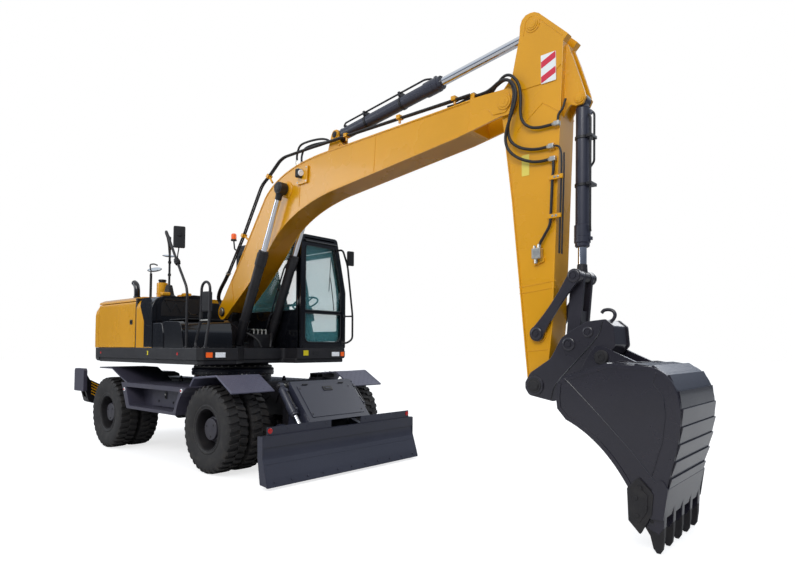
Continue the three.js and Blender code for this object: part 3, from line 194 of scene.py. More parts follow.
FABRIC = material("seat_fabric", (30, 30, 34), 0.9, vary=0.2, scale=300, bump=0.5, bump_scale=900)
INSIDE = material("cab_lining", (58, 58, 62), 0.75, vary=0.1, scale=20, bump=0.2, bump_scale=600)

# ---------------------------------------------------------------- outlines


def arc(cx, cz, r, a0, a1, n=8):
    return [(cx + r * cos(radians(a0 + (a1 - a0) * k / n)), cz + r * sin(radians(a0 + (a1 - a0) * k / n)))
        for k in range(n + 1)]


def round_about(n, r=1.0, start=0.0):
    """Points spaced evenly round a circle about the origin."""
    return [(r * cos(start + 2 * pi * k / n), r * sin(start + 2 * pi * k / n)) for k in range(n)]


def turned(angle, axis="Y"):
    return Matrix.Rotation(angle, 3, axis)


def bow(a, c, b, n=12, first=1):
    """A quadratic curve from a to b pulled towards c, without its first point unless first is 0."""
    a, c, b = Vector(a), Vector(c), Vector(b)
    return [tuple((1 - t) ** 2 * a + 2 * t * (1 - t) * c + t * t * b)
        for t in [k / n for k in range(first, n + 1)]]


def fillet(points, radius, n=5):
    """The same closed outline with its corners rounded; a radius may be given for each corner."""
    out = []
    count = len(points)
    for i, p in enumerate(points):
        r = radius[i] if isinstance(radius, (list, tuple)) else radius
        p = Vector(p)
        a = Vector(points[i - 1]) - p
        b = Vector(points[(i + 1) % count]) - p
        if r <= 0 or a.length < 1e-6 or b.length < 1e-6:
            out.append(tuple(p))
            continue
        angle = a.angle(b)
        if angle > 3.05:
            out.append(tuple(p))
            continue
        cut = min(r / math.tan(angle / 2), 0.45 * a.length, 0.45 * b.length)
        start, end = p + a.normalized() * cut, p + b.normalized() * cut
        out += bow(start, p, end, n, 0)
    return out


def offset_path(path, distance):
    """An open path moved sideways, to its left for a positive distance."""
    out = []
    for i, p in enumerate(path):
        a = Vector(path[max(0, i - 1)])
        b = Vector(path[min(len(path) - 1, i + 1)])
        d = (b - a).normalized()
        out.append((p[0] - d.y * distance, p[1] + d.x * distance))
    return out


def band(path, thickness):
    return list(path) + list(reversed(offset_path(path, thickness)))


def curve(points, per=8):
    """A smooth path through points of any dimension."""
    pts = [Vector(p) for p in points]
    pts = [pts[0] * 2 - pts[1]] + pts + [pts[-1] * 2 - pts[-2]]
    out = []
    for i in range(1, len(pts) - 2):
        p0, p1, p2, p3 = pts[i - 1:i + 3]
        for k in range(per):
            t = k / per
            out.append(0.5 * ((2 * p1) + (p2 - p0) * t + (2 * p0 - 5 * p1 + 4 * p2 - p3) * t * t
                + (3 * p1 - p0 - 3 * p2 + p3) * t * t * t))
    out.append(pts[-2])
    return [tuple(p) for p in out]


def bent(points, radius, n=6):
    """A pipe's route: straight runs joined by bends."""
    pts = [Vector(p) for p in points]
    out = [tuple(pts[0])]
    for a, p, b in zip(pts, pts[1:], pts[2:]):
        u, v = a - p, b - p
        cut = min(radius, 0.45 * u.length, 0.45 * v.length)
        start, end = p + u.normalized() * cut, p + v.normalized() * cut
        out += bow(start, p, end, n, 0)
    out.append(tuple(pts[-1]))
    return out


def link_outline(a, b, ra, rb, n=12):
    a, b = Vector(a), Vector(b)
    d = b - a
    along = math.degrees(math.atan2(d.y, d.x))
    lean = math.degrees(math.acos((ra - rb) / d.length))
    return arc(a.x, a.y, ra, along + lean, along - lean + 360, n) + arc(b.x, b.y, rb, along - lean,
        along + lean, n)


# ---------------------------------------------------------------- parts

AXES = {"x": lambda u, v, w: (w, u, v), "y": lambda u, v, w: (u, w, v), "z": lambda u, v, w: (u, v, w)}


class Part:
    """One piece, drawn from several solids, each with its own material."""

    def __init__(self, name, body, slot, replaces=()):
        self.name, self.body, self.slot = name, body, slot
        self.replaces = (replaces,) if isinstance(replaces, str) else replaces
        self.verts, self.faces, self.kinds, self.materials = [], [], [], []
        self.turn = Matrix.Identity(4)

    def kind(self, m):
        if m not in self.materials:
            self.materials.append(m)
        return self.materials.index(m)

    def take(self, bm, m, outward=True):
        if outward:
            bmesh.ops.recalc_face_normals(bm, faces=bm.faces)
        start = len(self.verts)
        bm.verts.index_update()
        self.verts += [self.turn @ v.co for v in bm.verts]
        k = self.kind(m)
        for f in bm.faces:
            self.faces.append([start + v.index for v in f.verts])
            self.kinds.append(k)
        bm.free()

    def soften(self, bm, bevel, segments=2):
        if bevel > 0:
            edges = [e for e in bm.edges if len(e.link_faces) == 2 and e.calc_face_angle(0) > 0.5]
            bmesh.ops.bevel(bm, geom=edges, offset=bevel, segments=segments, profile=0.6, affect="EDGES",
                clamp_overlap=True)

    def prism(self, outline, lo, hi, m, axis="y", bevel=3, segments=2, holes=(), shape=None):
        put = AXES[axis]
        bm = bmesh.new()
        loops = [outline] + list(holes)
        if holes:
            edges = []
            for loop in loops:
                vs = [bm.verts.new(put(u, v, lo)) for u, v in loop]
                edges += [bm.edges.new((vs[i - 1], vs[i])) for i in range(len(vs))]
            bmesh.ops.triangle_fill(bm, use_beauty=True, use_dissolve=False, edges=edges)
            up = Vector(put(0, 0, hi - lo))
            result = bmesh.ops.extrude_face_region(bm, geom=list(bm.faces))
            bmesh.ops.translate(bm, vec=up, verts=[g for g in result["geom"]
                if isinstance(g, bmesh.types.BMVert)])
            bmesh.ops.recalc_face_normals(bm, faces=bm.faces)
            bmesh.ops.dissolve_limit(bm, angle_limit=0.02, verts=bm.verts, edges=bm.edges)
        else:
            a = [bm.verts.new(put(u, v, lo)) for u, v in outline]
            b = [bm.verts.new(put(u, v, hi)) for u, v in outline]
            bm.faces.new(a)
            bm.faces.new(b[::-1])
            for i in range(len(a)):
                bm.faces.new((a[i - 1], b[i - 1], b[i], a[i]))
            bmesh.ops.recalc_face_normals(bm, faces=bm.faces)
        self.soften(bm, bevel, segments)
        if shape:
            shape(bm)
        self.take(bm, m)

    def box(self, x0, x1, y0, y1, z0, z1, m, bevel=3, segments=2):
        x0, x1 = min(x0, x1), max(x0, x1)
        self.prism([(x0, z0), (x1, z0), (x1, z1), (x0, z1)], min(y0, y1), max(y0, y1), m, "y", bevel,
            segments)

    def slant(self, centre, size, turn, m, bevel=3):
        """A box turned about its centre."""
        bm = bmesh.new()
        bmesh.ops.create_cube(bm, size=1, matrix=Matrix.Diagonal((*size, 1)))
        self.soften(bm, bevel)
        bmesh.ops.transform(bm, matrix=Matrix.Translation(centre) @ turn.to_4x4(), verts=bm.verts)
        self.take(bm, m)

    def lathe(self, profile, at, along, m, seg=36, closed=False):
        w = Vector(along).normalized()
        u = w.orthogonal().normalized()
        v = w.cross(u)
        bm = bmesh.new()
        rings = []
        for r, t in profile:
            c = Vector(at) + w * t
            if r < 1e-6:
                rings.append([bm.verts.new(c)])
            else:
                rings.append([bm.verts.new(c + r * (u * cos(2 * pi * k / seg) + v * sin(2 * pi * k / seg)))
                    for k in range(seg)])
        pairs = list(zip(rings, rings[1:])) + ([(rings[-1], rings[0])] if closed else [])
        for a, b in pairs:
            for k in range(seg):
                j = (k + 1) % seg
                if len(a) == 1 and len(b) == 1:
                    continue
                if len(a) == 1:
                    bm.faces.new((a[0], b[k], b[j]))
                elif len(b) == 1:
                    bm.faces.new((a[k], a[j], b[0]))
                else:
                    bm.faces.new((a[k], a[j], b[j], b[k]))
        self.take(bm, m)

    def rod(self, a, b, r, m, seg=24, chamfer=None):
        a, b = Vector(a), Vector(b)
        length = (b - a).length
        c = min(r * 0.12, 4) if chamfer is None else chamfer
        self.lathe([(0, 0), (r - c, 0), (r, c), (r, length - c), (r - c, length), (0, length)], a, b - a, m,
            seg)

    def pin(self, xz, r, y0, y1, m, seg=28, chamfer=None):
        self.rod((xz[0], y0, xz[1]), (xz[0], y1, xz[1]), r, m, seg, chamfer)

    def capped_pin(self, xz, r, y, side, m):
        """A pin's head with its keeper plate and bolts, on the outside of a cheek."""
        self.pin(xz, r, y, y + side * 10, m)
        self.pin(xz, r * 0.72, y + side * 8, y + side * 16, m)
        self.pin(xz, r * 0.3, y + side * 14, y + side * 18, m, 16)

    def tube(self, path, r, m, sides=10):
        pts = [Vector(p) for p in path]
        bm = bmesh.new()
        rings = []
        normal = None
        for i, p in enumerate(pts):
            d = (pts[min(i + 1, len(pts) - 1)] - pts[max(i - 1, 0)]).normalized()
            normal = d.orthogonal().normalized() if normal is None else (normal
                - d * normal.dot(d)).normalized()
            side = d.cross(normal)
            rings.append([bm.verts.new(p + r * (normal * cos(2 * pi * k / sides)
                + side * sin(2 * pi * k / sides))) for k in range(sides)])
        for a, b in zip(rings, rings[1:]):
            for k in range(sides):
                j = (k + 1) % sides
                bm.faces.new((a[k], a[j], b[j], b[k]))
        bm.faces.new(rings[0][::-1])
        bm.faces.new(rings[-1])
        self.take(bm, m)

    def loft(self, rings, m, bevel=0):
        bm = bmesh.new()
        rows = [[bm.verts.new(p) for p in ring] for ring in rings]
        for a, b in zip(rows, rows[1:]):
            for k in range(len(a)):
                j = (k + 1) % len(a)
                bm.faces.new((a[k], a[j], b[j], b[k]))
        bm.faces.new(rows[0][::-1])
        bm.faces.new(rows[-1])
        bmesh.ops.recalc_face_normals(bm, faces=bm.faces)
        self.soften(bm, bevel)
        self.take(bm, m)

    def bolt(self, at, along, r, m=SILVER, washer=True):
        h = r * 0.7
        if washer:
            self.lathe([(0, 0), (r * 1.45, 0), (r * 1.45, h * 0.25), (0, h * 0.25)], at, along, m, 16)
        self.lathe([(0, 0), (r, 0), (r, h), (r * 0.86, h * 1.2), (0, h * 1.2)], at, along, m, 6)

    def weld(self, path, m, r=4):
        self.tube(path, r, m, 6)

    def finish(self, sharp=38, keep=False):
        mesh = bpy.data.meshes.new(self.name)
        mesh.from_pydata([place(v) for v in self.verts], [], self.faces)
        for m in self.materials:
            mesh.materials.append(m)
        mesh.polygons.foreach_set("material_index", self.kinds)
        mesh.validate()
        mesh.polygons.foreach_set("use_smooth", [True] * len(mesh.polygons))
        mesh.set_sharp_from_angle(angle=radians(sharp))
        mesh.update()
        piece = bpy.data.objects.new(self.name, mesh)
        bpy.context.scene.collection.objects.link(piece)
        if not keep:
            weighted = piece.modifiers.new("weighted_normals", "WEIGHTED_NORMAL")
            weighted.keep_sharp = True
        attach(piece, self.body)
        if self.replaces:
            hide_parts(*self.replaces)
        return piece


def over(node, body, slot):
    """The piece that replaces one node and is named after it."""
    return Part(node + "_body", body, slot, node)


# ---------------------------------------------------------------- tyres and rims

TYRE_R, TWIN, AXLE_Z, LUGS = 527.0, 155.0, 527.0, 34
AXLES = {"front": 1322.0, "rear": -1478.0}
TWIN_Y = 941.0


def wheel(end, side, where):
    base = Matrix.Translation((AXLES[end], side * TWIN_Y, AXLE_Z))
    if side < 0:
        base = base @ Matrix.Rotation(pi, 4, "Z")
    tyres = Part(f"{end}_tyres_{where}", f"wheel_{end}_{where}", "tyre_rubber", f"tyres_{end}_{where}")
    tyres.turn = base
    for mid in (-TWIN, TWIN):
        half = [(262, 116), (284, 124), (300, 118), (322, 126), (370, 134), (420, 137), (455, 135),
            (476, 130), (496, 122), (501, 108), (504, 60), (505, 0)]
        profile = [(r, mid - y) for r, y in half] + [(r, mid + y) for r, y in reversed(half[:-1])]
        tyres.lathe(profile, (0, 0, 0), (0, 1, 0), RUBBER, 72, closed=True)
        for k in range(LUGS):
            for hand in (-1, 1):
                turn = 2 * pi * (k + (0.5 if hand > 0 else 0)) / LUGS
                # along the tread, then across it from the middle to the shoulder
                plan = [(-34, -6), (12, -6), (22, 40), (34, 92), (34, 121), (-12, 121), (-12, 96),
                    (-26, 44)]
                bm = bmesh.new()
                low, high = [], []
                for s, y in plan:
                    drop = 10 if y > 118 else (3 if y > 90 else 0)
                    a = turn + s / TYRE_R
                    for row, r, grow in ((low, 496, 1.0), (high, TYRE_R - drop, 0.95)):
                        row.append(bm.verts.new((r * cos(a), mid + hand * (4 + y * grow), r * sin(a))))
                bm.faces.new(low)
                bm.faces.new(high[::-1])
                for i in range(len(low)):
                    bm.faces.new((low[i - 1], high[i - 1], high[i], low[i]))
                bmesh.ops.recalc_face_normals(bm, faces=bm.faces)
                tyres.soften(bm, 2.5, 1)
                tyres.take(bm, RUBBER)
                # the lug's root, down over the shoulder
                bm = bmesh.new()
                rows = []
                for r, y in ((508, 121), (490, 131), (462, 136.5), (448, 134)):
                    wide = 23 if r > 480 else 19
                    ring = [(r, y, -wide), (r, y, wide), (r - 8, y - 14, wide), (r - 8, y - 14, -wide)]
                    rows.append([bm.verts.new((q * cos(turn + (s + 11) / TYRE_R), mid + hand * v,
                        q * sin(turn + (s + 11) / TYRE_R))) for q, v, s in ring])
                for a, b in zip(rows, rows[1:]):
                    for i in range(4):
                        bm.faces.new((a[i - 1], a[i], b[i], b[i - 1]))
                bm.faces.new(rows[0])
                bm.faces.new(rows[-1][::-1])
                tyres.take(bm, RUBBER)
    tyres.finish(30)
    rim = Part(f"{end}_rim_{where}", f"wheel_{end}_{where}", "dark_paint", f"rim_{end}_{where}")
    rim.turn = base
    outer = 272
    rim.lathe([(0, -40), (140, -40), (150, -30), (236, -4), (240, -outer), (258, -outer), (261, -outer + 6),
        (261, -20), (252, 0), (261, 20), (261, outer - 6), (257, outer), (248, outer), (243, outer - 12),
        (238, outer - 30), (234, 84), (226, 74), (196, 60), (190, 58), (0, 58)], (0, 0, 0), (0, 1, 0), CAST,
        72)
    rim.lathe([(256, outer - 22), (268, outer - 14), (272, outer - 4), (268, outer + 2), (262, outer - 2),
        (252, outer - 8)], (0, 0, 0), (0, 1, 0), CAST, 72, closed=True)
    rim.lathe([(150, 56), (150, 176), (146, 184), (140, 188), (134, 190), (134, 214), (129, 221),
        (122, 224), (60, 226), (56, 229), (0, 230)], (0, 0, 0), (0, 1, 0), HUB, 48)
    for (x, z), (u, w) in zip(round_about(10, 172), round_about(10, 214, 0.31)):
        rim.bolt((x, 58, z), (0, 1, 0), 16, CAST)
        rim.lathe([(0, 0), (17, 0), (17, 3), (11, 3), (11, 1), (0, 1)], (u, 66, w), (0, 1, 0), BLACK, 16)
    for xz in round_about(3, 88, 0.4):
        rim.pin(xz, 13, 224, 231, CAST, 20, 3)
    rim.finish()


for side, where in SIDES:
    for end in AXLES:
        wheel(end, side, where)

# ---------------------------------------------------------------- cylinders


def aim(a, b, y=0.0):
    """The frame whose X runs from a to b in the XZ plane."""
    return Matrix.Translation((a[0], y, a[1])) @ Matrix.Rotation(-math.atan2(b[1] - a[1], b[0] - a[0]), 4,
        "Y")


def barrel(part, length, r, foot_r, foot_half, m=BLUE, bolts=10, ports=True):
    collar = 10
    part.lathe([(0, foot_r * 0.4), (r * 0.72, foot_r * 0.5), (r * 0.9, foot_r + 4), (r, foot_r + 16),
        (r, length - r * 3.2), (r + collar - 3, length - r * 3.15), (r + collar, length - r * 3.1),
        (r + collar, length - r * 1.5), (r + collar - 2, length - r * 1.48),
        (r + collar - 2, length - r * 1.42), (r + collar, length - r * 1.4), (r + collar, length - r * 0.6),
        (r + 2, length - r * 0.52), (r + 2, length - 5), (r - 3, length), (r * 0.7, length),
        (r * 0.66, length + 4), (0, length + 4)], (0, 0, 0), (1, 0, 0), m, 40)
    part.lathe([(foot_r * 0.55, -foot_half), (foot_r - 4, -foot_half), (foot_r, -foot_half + 4),
        (foot_r, foot_half - 4), (foot_r - 4, foot_half), (foot_r * 0.55, foot_half)], (0, 0, 0), (0, 1, 0),
        m, 36)
    seam = [(foot_r + 14, y, z) for y, z in round_about(24, r * 0.99)]
    part.weld(seam + seam[:1], m, 4)
    for y, z in round_about(bolts, r * 0.86):
        part.bolt((length, y, z), (1, 0, 0), r * 0.085, BLACK, False)
    if ports:
        part.box(foot_r + 40, foot_r + 80, -18, 18, r - 6, r + 20, m, 3)
        part.box(length - r * 1.4, length - r * 0.9, -18, 18, r + 2, r + collar + 18, m, 3)


def clamp_ring(part, t, r, out, wide):
    part.lathe([(r, 0), (r + out, 2), (r + out, wide - 2), (r, wide)], (t, 0, 0), (1, 0, 0), BLACK, 36,
        closed=True)


def rod_and_eye(part, start, length, r, eye_r, eye_half, m=BLUE):
    part.rod((start, 0, 0), (length - eye_r * 0.5, 0, 0), r, CHROME, 32, 1)
    part.lathe([(r * 0.98, length - eye_r * 2.0), (r + 6, length - eye_r * 1.9),
        (r + 8, length - eye_r * 1.2), (eye_r * 0.8, length - eye_r * 0.7)], (0, 0, 0), (1, 0, 0), m, 32)
    part.lathe([(0, -eye_half), (eye_r - 5, -eye_half), (eye_r, -eye_half + 5), (eye_r, eye_half - 5),
        (eye_r - 5, eye_half), (0, eye_half)], (length, 0, 0), (0, 1, 0), m, 36)
    for k in (-1, 1):
        part.pin((length, 0), eye_r * 0.62, k * eye_half, k * (eye_half + 3), SILVER, 24, 1)


def span(a, b):
    return math.hypot(b[0] - a[0], b[1] - a[1])

# ---------------------------------------------------------------- chassis

FRONT_X, REAR_X = AXLES["front"], AXLES["rear"]
FRAME_LOW, FRAME_TOP = 640, 1000

p = over("chassis_frame", "chassis", "dark_paint")
for y in (-300, 276):
    p.box(-2330, 1860, y, y + 24, FRAME_LOW, FRAME_TOP, BLACK)
p.box(-2330, 1860, -280, 280, FRAME_TOP - 24, FRAME_TOP, BLACK)
for x0, x1 in ((-2330, REAR_X - 215), (REAR_X + 215, FRONT_X - 215), (FRONT_X + 215, 1860)):
    p.box(x0, x1, -280, 280, FRAME_LOW, FRAME_LOW + 24, BLACK)
for x in (REAR_X, FRONT_X):
    for k in (-1, 1):
        p.box(x + k * 214, x + k * 190, -280, 280, 650, 980, BLACK)
        for side in (-1, 1):
            p.slant((x + k * 100, side * 308, 900), (170, 14, 150), turned(k * 0.5), BLACK)
belly = [(-880, FRAME_TOP), (-730, FRAME_LOW), (750, FRAME_LOW), (790, FRAME_TOP)]
p.prism(belly, -560, 560, BLACK, bevel=6)
for side in (-1, 1):
    p.box(-860, 780, side * 520, side * 556, 985, 1002, BLACK)
    for x in (-600, 560):
        p.prism(fillet([(x - 50, 998), (x - 12, 1085), (x + 12, 1085), (x + 50, 998)], [0, 20, 20, 0]),
            side * 500, side * 524, BLACK, holes=[arc(x, 1050, 17, 0, 345, 14)])
p.lathe([(0, 990), (575, 990), (572, 1012), (556, 1030), (556, 1100), (575, 1110), (592, 1112), (592, 1129),
    (0, 1129)], (0, 0, 0), (0, 0, 1), BLACK, 72)
for k, (x, y) in enumerate(round_about(40, 578)):
    p.bolt((x, y, 1113), (0, 0, -1), 10, RED if k % 5 == 0 else SILVER)
# the nose that carries the blade
half = BLADE_Y - 66
p.box(1845, 1960, -half, half, 330, FRAME_TOP, BLACK, 6)
p.pin(BLADE_PIVOT, 60, -521, 521, BLACK)
p.pin(BLADE_PIVOT, 34, -610, 610, SILVER)
p.pin(BLADE_FOOT, 26, -610, 610, SILVER)
for side in (-1, 1):
    p.prism(fillet([(1845, 980), (1960, 980), (1960, 1040), (1925, 1080), (1860, 1080), (1845, 1040)],
        [0, 0, 20, 26, 26, 10]), side * 380, side * half, BLACK)
    p.capped_pin(BLADE_PIVOT, 44, side * 600, side, BLACK)
    p.capped_pin(BLADE_FOOT, 34, side * 600, side, BLACK)
    p.box(1962, 1968, side * 420, side * 482, 610, 690, MARK, 1)
    p.tube(bent([(1965, side * 470, 1000), (1985, side * 470, 880), (1985, side * 505, 760),
        (1955, side * 505, 640)], 50), 10, HOSE)
# the tail that carries the outriggers
p.box(LEG_X - 195, -2310, -300, 300, 380, 1080, BLACK, 8)
for side in (-1, 1):
    wing = [(290, 380), (490, 400), (490, 560), (390, 1040), (290, 1080)]
    wing = fillet([(side * y, z) for y, z in wing], [0, 40, 20, 30, 0])
    for x0, x1 in ((LEG_X - 195, LEG_X - 112), (LEG_X + 112, LEG_X + 195)):
        p.prism(wing, x0, x1, BLACK, "x", 4)
    for (y, z), r, cap_r, cap in ((LEG_PIVOT, 32, 52, 12), (LEG_FOOT, 24, 40, 10)):
        p.rod((LEG_X - 150, side * y, z), (LEG_X + 150, side * y, z), r, SILVER)
        for x, k in ((LEG_X - 182, -1), (LEG_X + 196, 1)):
            p.rod((x, side * y, z), (x + k * cap, side * y, z), cap_r, BLACK)
    p.box(LEG_X - 194.9, LEG_X - 190, side * 150, side * 230, 820, 900, RED, 2)
p.box(LEG_X - 194.9, LEG_X - 190, -90, 90, 560, 700, BLACK, 2)
p.rod((LEG_X - 194, 0, 630), (LEG_X - 180, 0, 630), 30, CAST)
for y in (-250, -215):
    p.tube(bent([(-2300, y, 1010), (-1600, y, 1015), (-900, y, 1015), (-420, y, 1015)], 40), 11, HOSE)
p.finish()

p = over("slew_ring", "chassis", "grey_paint")
p.lathe([(505, 1130.4), (590, 1130.4), (594, 1134), (594, 1160), (586, 1164), (586, 1170), (594, 1174),
    (594, 1192), (584, 1209), (505, 1209)], (0, 0, 0), (0, 0, 1), BLUE, 96, closed=True)
for k, (c, s) in enumerate(round_about(48, 1.0, pi / 48)):
    p.bolt((593 * c, 593 * s, 1147), (c, s, 0), 4, RED if k % 4 == 0 else SILVER, False)
p.finish()

p = over("front_axle", "chassis", "dark_paint")
p.lathe([(0, -150), (100, -146), (120, -132), (176, -74), (188, -60), (190, 60), (176, 74), (120, 132),
    (100, 146), (0, 150)], (FRONT_X, 0, AXLE_Z), (0, 1, 0), CAST, 48)
p.loft([[(FRONT_X + a, y, AXLE_Z + b) for a, b in fillet([(-w, -h), (w, -h), (w, h), (-w, h)], 24)] for y,
    w, h in ((-655, 62, 78), (-480, 66, 68), (-150, 70, 96), (150, 70, 96), (480, 66, 68), (655, 62, 78))],
    CAST)
for side in (-1, 1):
    p.box(FRONT_X - 70, FRONT_X + 70, side * 200, side * 290, AXLE_Z + 40, 639, CAST, 6)
    p.box(FRONT_X - 60, FRONT_X + 60, side * 590, side * 652, AXLE_Z - 135, AXLE_Z + 135, CAST, 14)
    for z0, z1 in ((-135, -96), (96, 135)):
        p.box(FRONT_X - 55, FRONT_X + 55, side * 640, side * (KINGPIN_Y + 2), AXLE_Z + z0, AXLE_Z + z1,
            CAST, 10)
        p.rod((FRONT_X, side * KINGPIN_Y, AXLE_Z + z0), (FRONT_X, side * KINGPIN_Y, AXLE_Z + z1), 61, CAST,
            32)
        top = AXLE_Z + (z1 if z1 > 0 else z0)
        for x, y in round_about(4, 40, pi / 4):
            p.bolt((FRONT_X + x, side * KINGPIN_Y + y, top), (0, 0, 1 if z1 > 0 else -1), 7)
p.rod((FRONT_X + 130, -300, AXLE_Z), (FRONT_X + 130, 300, AXLE_Z), 42, BLACK, 32)
for k in (-1, 1):
    p.rod((FRONT_X + 130, k * 262, AXLE_Z), (FRONT_X + 130, k * 302, AXLE_Z), 46, BLACK, 32)
p.box(FRONT_X + 60, FRONT_X + 140, -40, 40, AXLE_Z - 30, AXLE_Z + 30, CAST, 6)
p.finish()

p = over("rear_axle", "chassis", "dark_paint")
p.lathe([(0, -160), (110, -154), (130, -140), (178, -84), (190, -70), (190, 70), (178, 84), (130, 140),
    (110, 154), (0, 160)], (REAR_X, 0, AXLE_Z), (0, 1, 0), CAST, 48)
p.lathe([(0, -920), (78, -920), (80, -700), (96, -620), (80, -560), (80, 560), (96, 620), (80, 700),
    (78, 920), (0, 920)], (REAR_X, 0, AXLE_Z), (0, 1, 0), CAST, 40)
for side in (-1, 1):
    p.box(REAR_X - 90, REAR_X + 90, side * 190, side * 290, AXLE_Z, 639, CAST, 6)
p.box(REAR_X + 120, REAR_X + 520, -170, 170, AXLE_Z - 110, 639, CAST, 18)
for k in range(5):
    p.box(REAR_X + 160 + 75 * k, REAR_X + 172 + 75 * k, -178, 178, AXLE_Z - 116, 630, CAST, 3)
p.rod((REAR_X + 500, 0, AXLE_Z), (FRONT_X - 196, 0, AXLE_Z), 36, BLACK, 28)
for x in (REAR_X + 560, FRONT_X - 260):
    p.rod((x, 0, AXLE_Z), (x + 50, 0, AXLE_Z), 52, CAST, 28)
p.finish()

for side, where in SIDES:
    y = side * KINGPIN_Y
    p = over(f"knuckle_{where}", f"knuckle_{where}", "dark_paint")
    p.rod((FRONT_X, y, AXLE_Z - 93), (FRONT_X, y, AXLE_Z + 93), 60, CAST, 32)
    p.rod((FRONT_X, y, AXLE_Z), (FRONT_X, side * 920.7, AXLE_Z), 70, CAST, 36)
    p.finish()

# ---------------------------------------------------------------- steps, mudguards and nose locker


def tread(part, u0, u1, v0, v1, put, m=PLATE, step=44.0):
    """Raised lozenges of chequer plate; put(u, v, height) gives the point on the sheet."""
    columns, rows = max(1, int((u1 - u0) / step)), max(1, int((v1 - v0) / step))
    bm = bmesh.new()
    for i in range(columns):
        for j in range(rows):
            cu, cv = u0 + (i + 0.5) * (u1 - u0) / columns, v0 + (j + 0.5) * (v1 - v0) / rows
            a = radians(45 if (i + j) % 2 else -45)
            c, s = cos(a), sin(a)
            base = [bm.verts.new(put(cu + du * c - dv * s, cv + du * s + dv * c, 0)) for du,
                dv in ((-15, 0), (0, -4.5), (15, 0), (0, 4.5))]
            ridge = [bm.verts.new(put(cu + du * c, cv + du * s, 2.6)) for du in (-8, 8)]
            bm.faces.new((base[0], base[1], ridge[0]))
            bm.faces.new((base[1], base[2], ridge[1], ridge[0]))
            bm.faces.new((base[2], base[3], ridge[1]))
            bm.faces.new((base[3], base[0], ridge[0], ridge[1]))
    part.take(bm, m, outward=False)


def sheet_tread(part, path, y0, y1, m=PLATE):
    """Chequer plate on the upper face of a folded sheet whose edge is path."""
    for a, b in zip(path, path[1:]):
        a, b = Vector(a), Vector(b)
        d = (b - a)
        n = Vector((-d.y, d.x)).normalized()
        if n.y < 0:
            n = -n
        length, u = d.length, d.normalized()
        if length < 90:
            continue
        tread(part, 14, length - 14, min(y0, y1) + 16, max(y0, y1) - 16, lambda s, v, h, a=a, u=u,
            n=n: ((a + u * s + n * h).x, v, (a + u * s + n * h).y), m)


for side, where in SIDES:
    p = over(f"step_box_{where}", "chassis", "dark_paint")
    outer = fillet([(-953, 1003), (-771, 640), (622, 640), (634, 700), (658, 760), (689, 820), (731, 880),
        (789, 940), (880, 1003)], [6, 40, 14, 4, 4, 4, 4, 4, 6])
    recess = fillet([(-799, 945), (-690, 680), (560, 680), (612, 780), (700, 945)], [16, 60, 40, 60, 16])
    p.prism(outer, side * 1000, side * 1240, STEP, holes=[recess], bevel=5)
    p.prism(outer, side * 561, side * 1001, STEP, bevel=4)
    # the locker's door with its handle and lock
    p.prism(fillet([(-430, 932), (-430, 690), (550, 690), (600, 780), (684, 932)], [8, 8, 40, 60, 14]),
        side * 1000, side * 1030, STEP, bevel=4)
    p.box(-60, -4, side * 1028, side * 1040, 800, 900, BLACK, 5)
    p.pin((-32, 862), 12, side * 1038, side * 1048, SILVER)
    p.box(-40, -24, side * 1038, side * 1050, 812, 840, BLACK, 4)
    for x in (-230, 170):
        p.lathe([(0, 0), (17, 0), (17, 4), (12, 4), (12, 1), (0, 1)], (x, side * 1030, 760), (0, side, 0),
            PLASTIC, 20)
    tread(p, -640, 560, 1050, 1230, lambda s, v, h: (s, side * v, 680.5 + h), STEP)
    for x in (-846, 762):
        p.lathe([(0, 0), (27, 0), (27, 5), (22, 8), (0, 9)], (x, side * 1240, 905 if x < 0 else 960),
            (0, side, 0), STRIPE_WHITE, 24)
        p.lathe([(0, 8), (15, 8), (14, 11), (0, 12)], (x, side * 1240, 905 if x < 0 else 960), (0, side, 0),
            RED, 20)
    tread(p, -640, 860, 620, 1225, lambda s, v, h: (s, side * v, 1003 + h), STEP)
    p.prism(fillet([(-690, 990), (-690, 1003), (-800, 1006), (-935, 1061), (-1281, 1202), (-1720, 1206),
        (-1720, 1190), (-1285, 1186), (-940, 1045), (-800, 990)], [0, 0, 20, 20, 30, 3, 3, 30, 20, 20]),
        side * 540, side * 1236, STEP, bevel=2)
    p.tube([(x, side * 1234, z) for x, z in fillet([(-760, 1002), (-935, 1056), (-1281, 1194),
        (-1716, 1198)], [0, 30, 50, 0])], 9, STEP, 10)
    p.tube([(-1716, side * 1234, 1198), (-1716, side * 545, 1198)], 9, STEP, 10)
    for y in (620, 800, 980, 1160):
        p.weld([(-950, side * y, 1050), (-1270, side * y, 1180)], STEP, 5)
    p.finish()

p = over("front_fenders", "chassis", "grey_paint")
for side in (-1, 1):
    top = [(952, 1032), (1046, 1140), (1560, 1178), (1880, 990)]
    inner = [(1868, 974), (1552, 1160), (1056, 1123), (966, 1022)]
    p.prism(fillet(top + inner, [2, 40, 50, 2, 2, 46, 36, 2]), side * 644, side * 1238, PLATE, bevel=2)
    lip = fillet([(955, 1030), (1048, 1136), (1559, 1173), (1876, 987)], [0, 44, 54, 0])
    p.tube([(x, side * 1231, z) for x, z in lip], 11, PLATE, 10)
    p.tube([(1874, side * y, 986) for y in (650, 1231)], 11, PLATE, 10)
    for run in ([(1070, 1141), (1540, 1176)], [(1575, 1170), (1866, 998)], [(960, 1041), (1036, 1128)]):
        sheet_tread(p, run, side * 644, side * 1220)
    p.box(1240, 1400, side * 440, side * 540, 1050, 1150, BLACK, 6)
    p.box(1240, 1400, side * 440, side * 760, 1090, 1140, BLACK, 6)
    for x in (1270, 1370):
        p.bolt((x, side * 700, 1166), (0, 0, 1), 9)
p.box(1240, 1400, -540, 540, 1000.4, 1060, BLACK, 6)
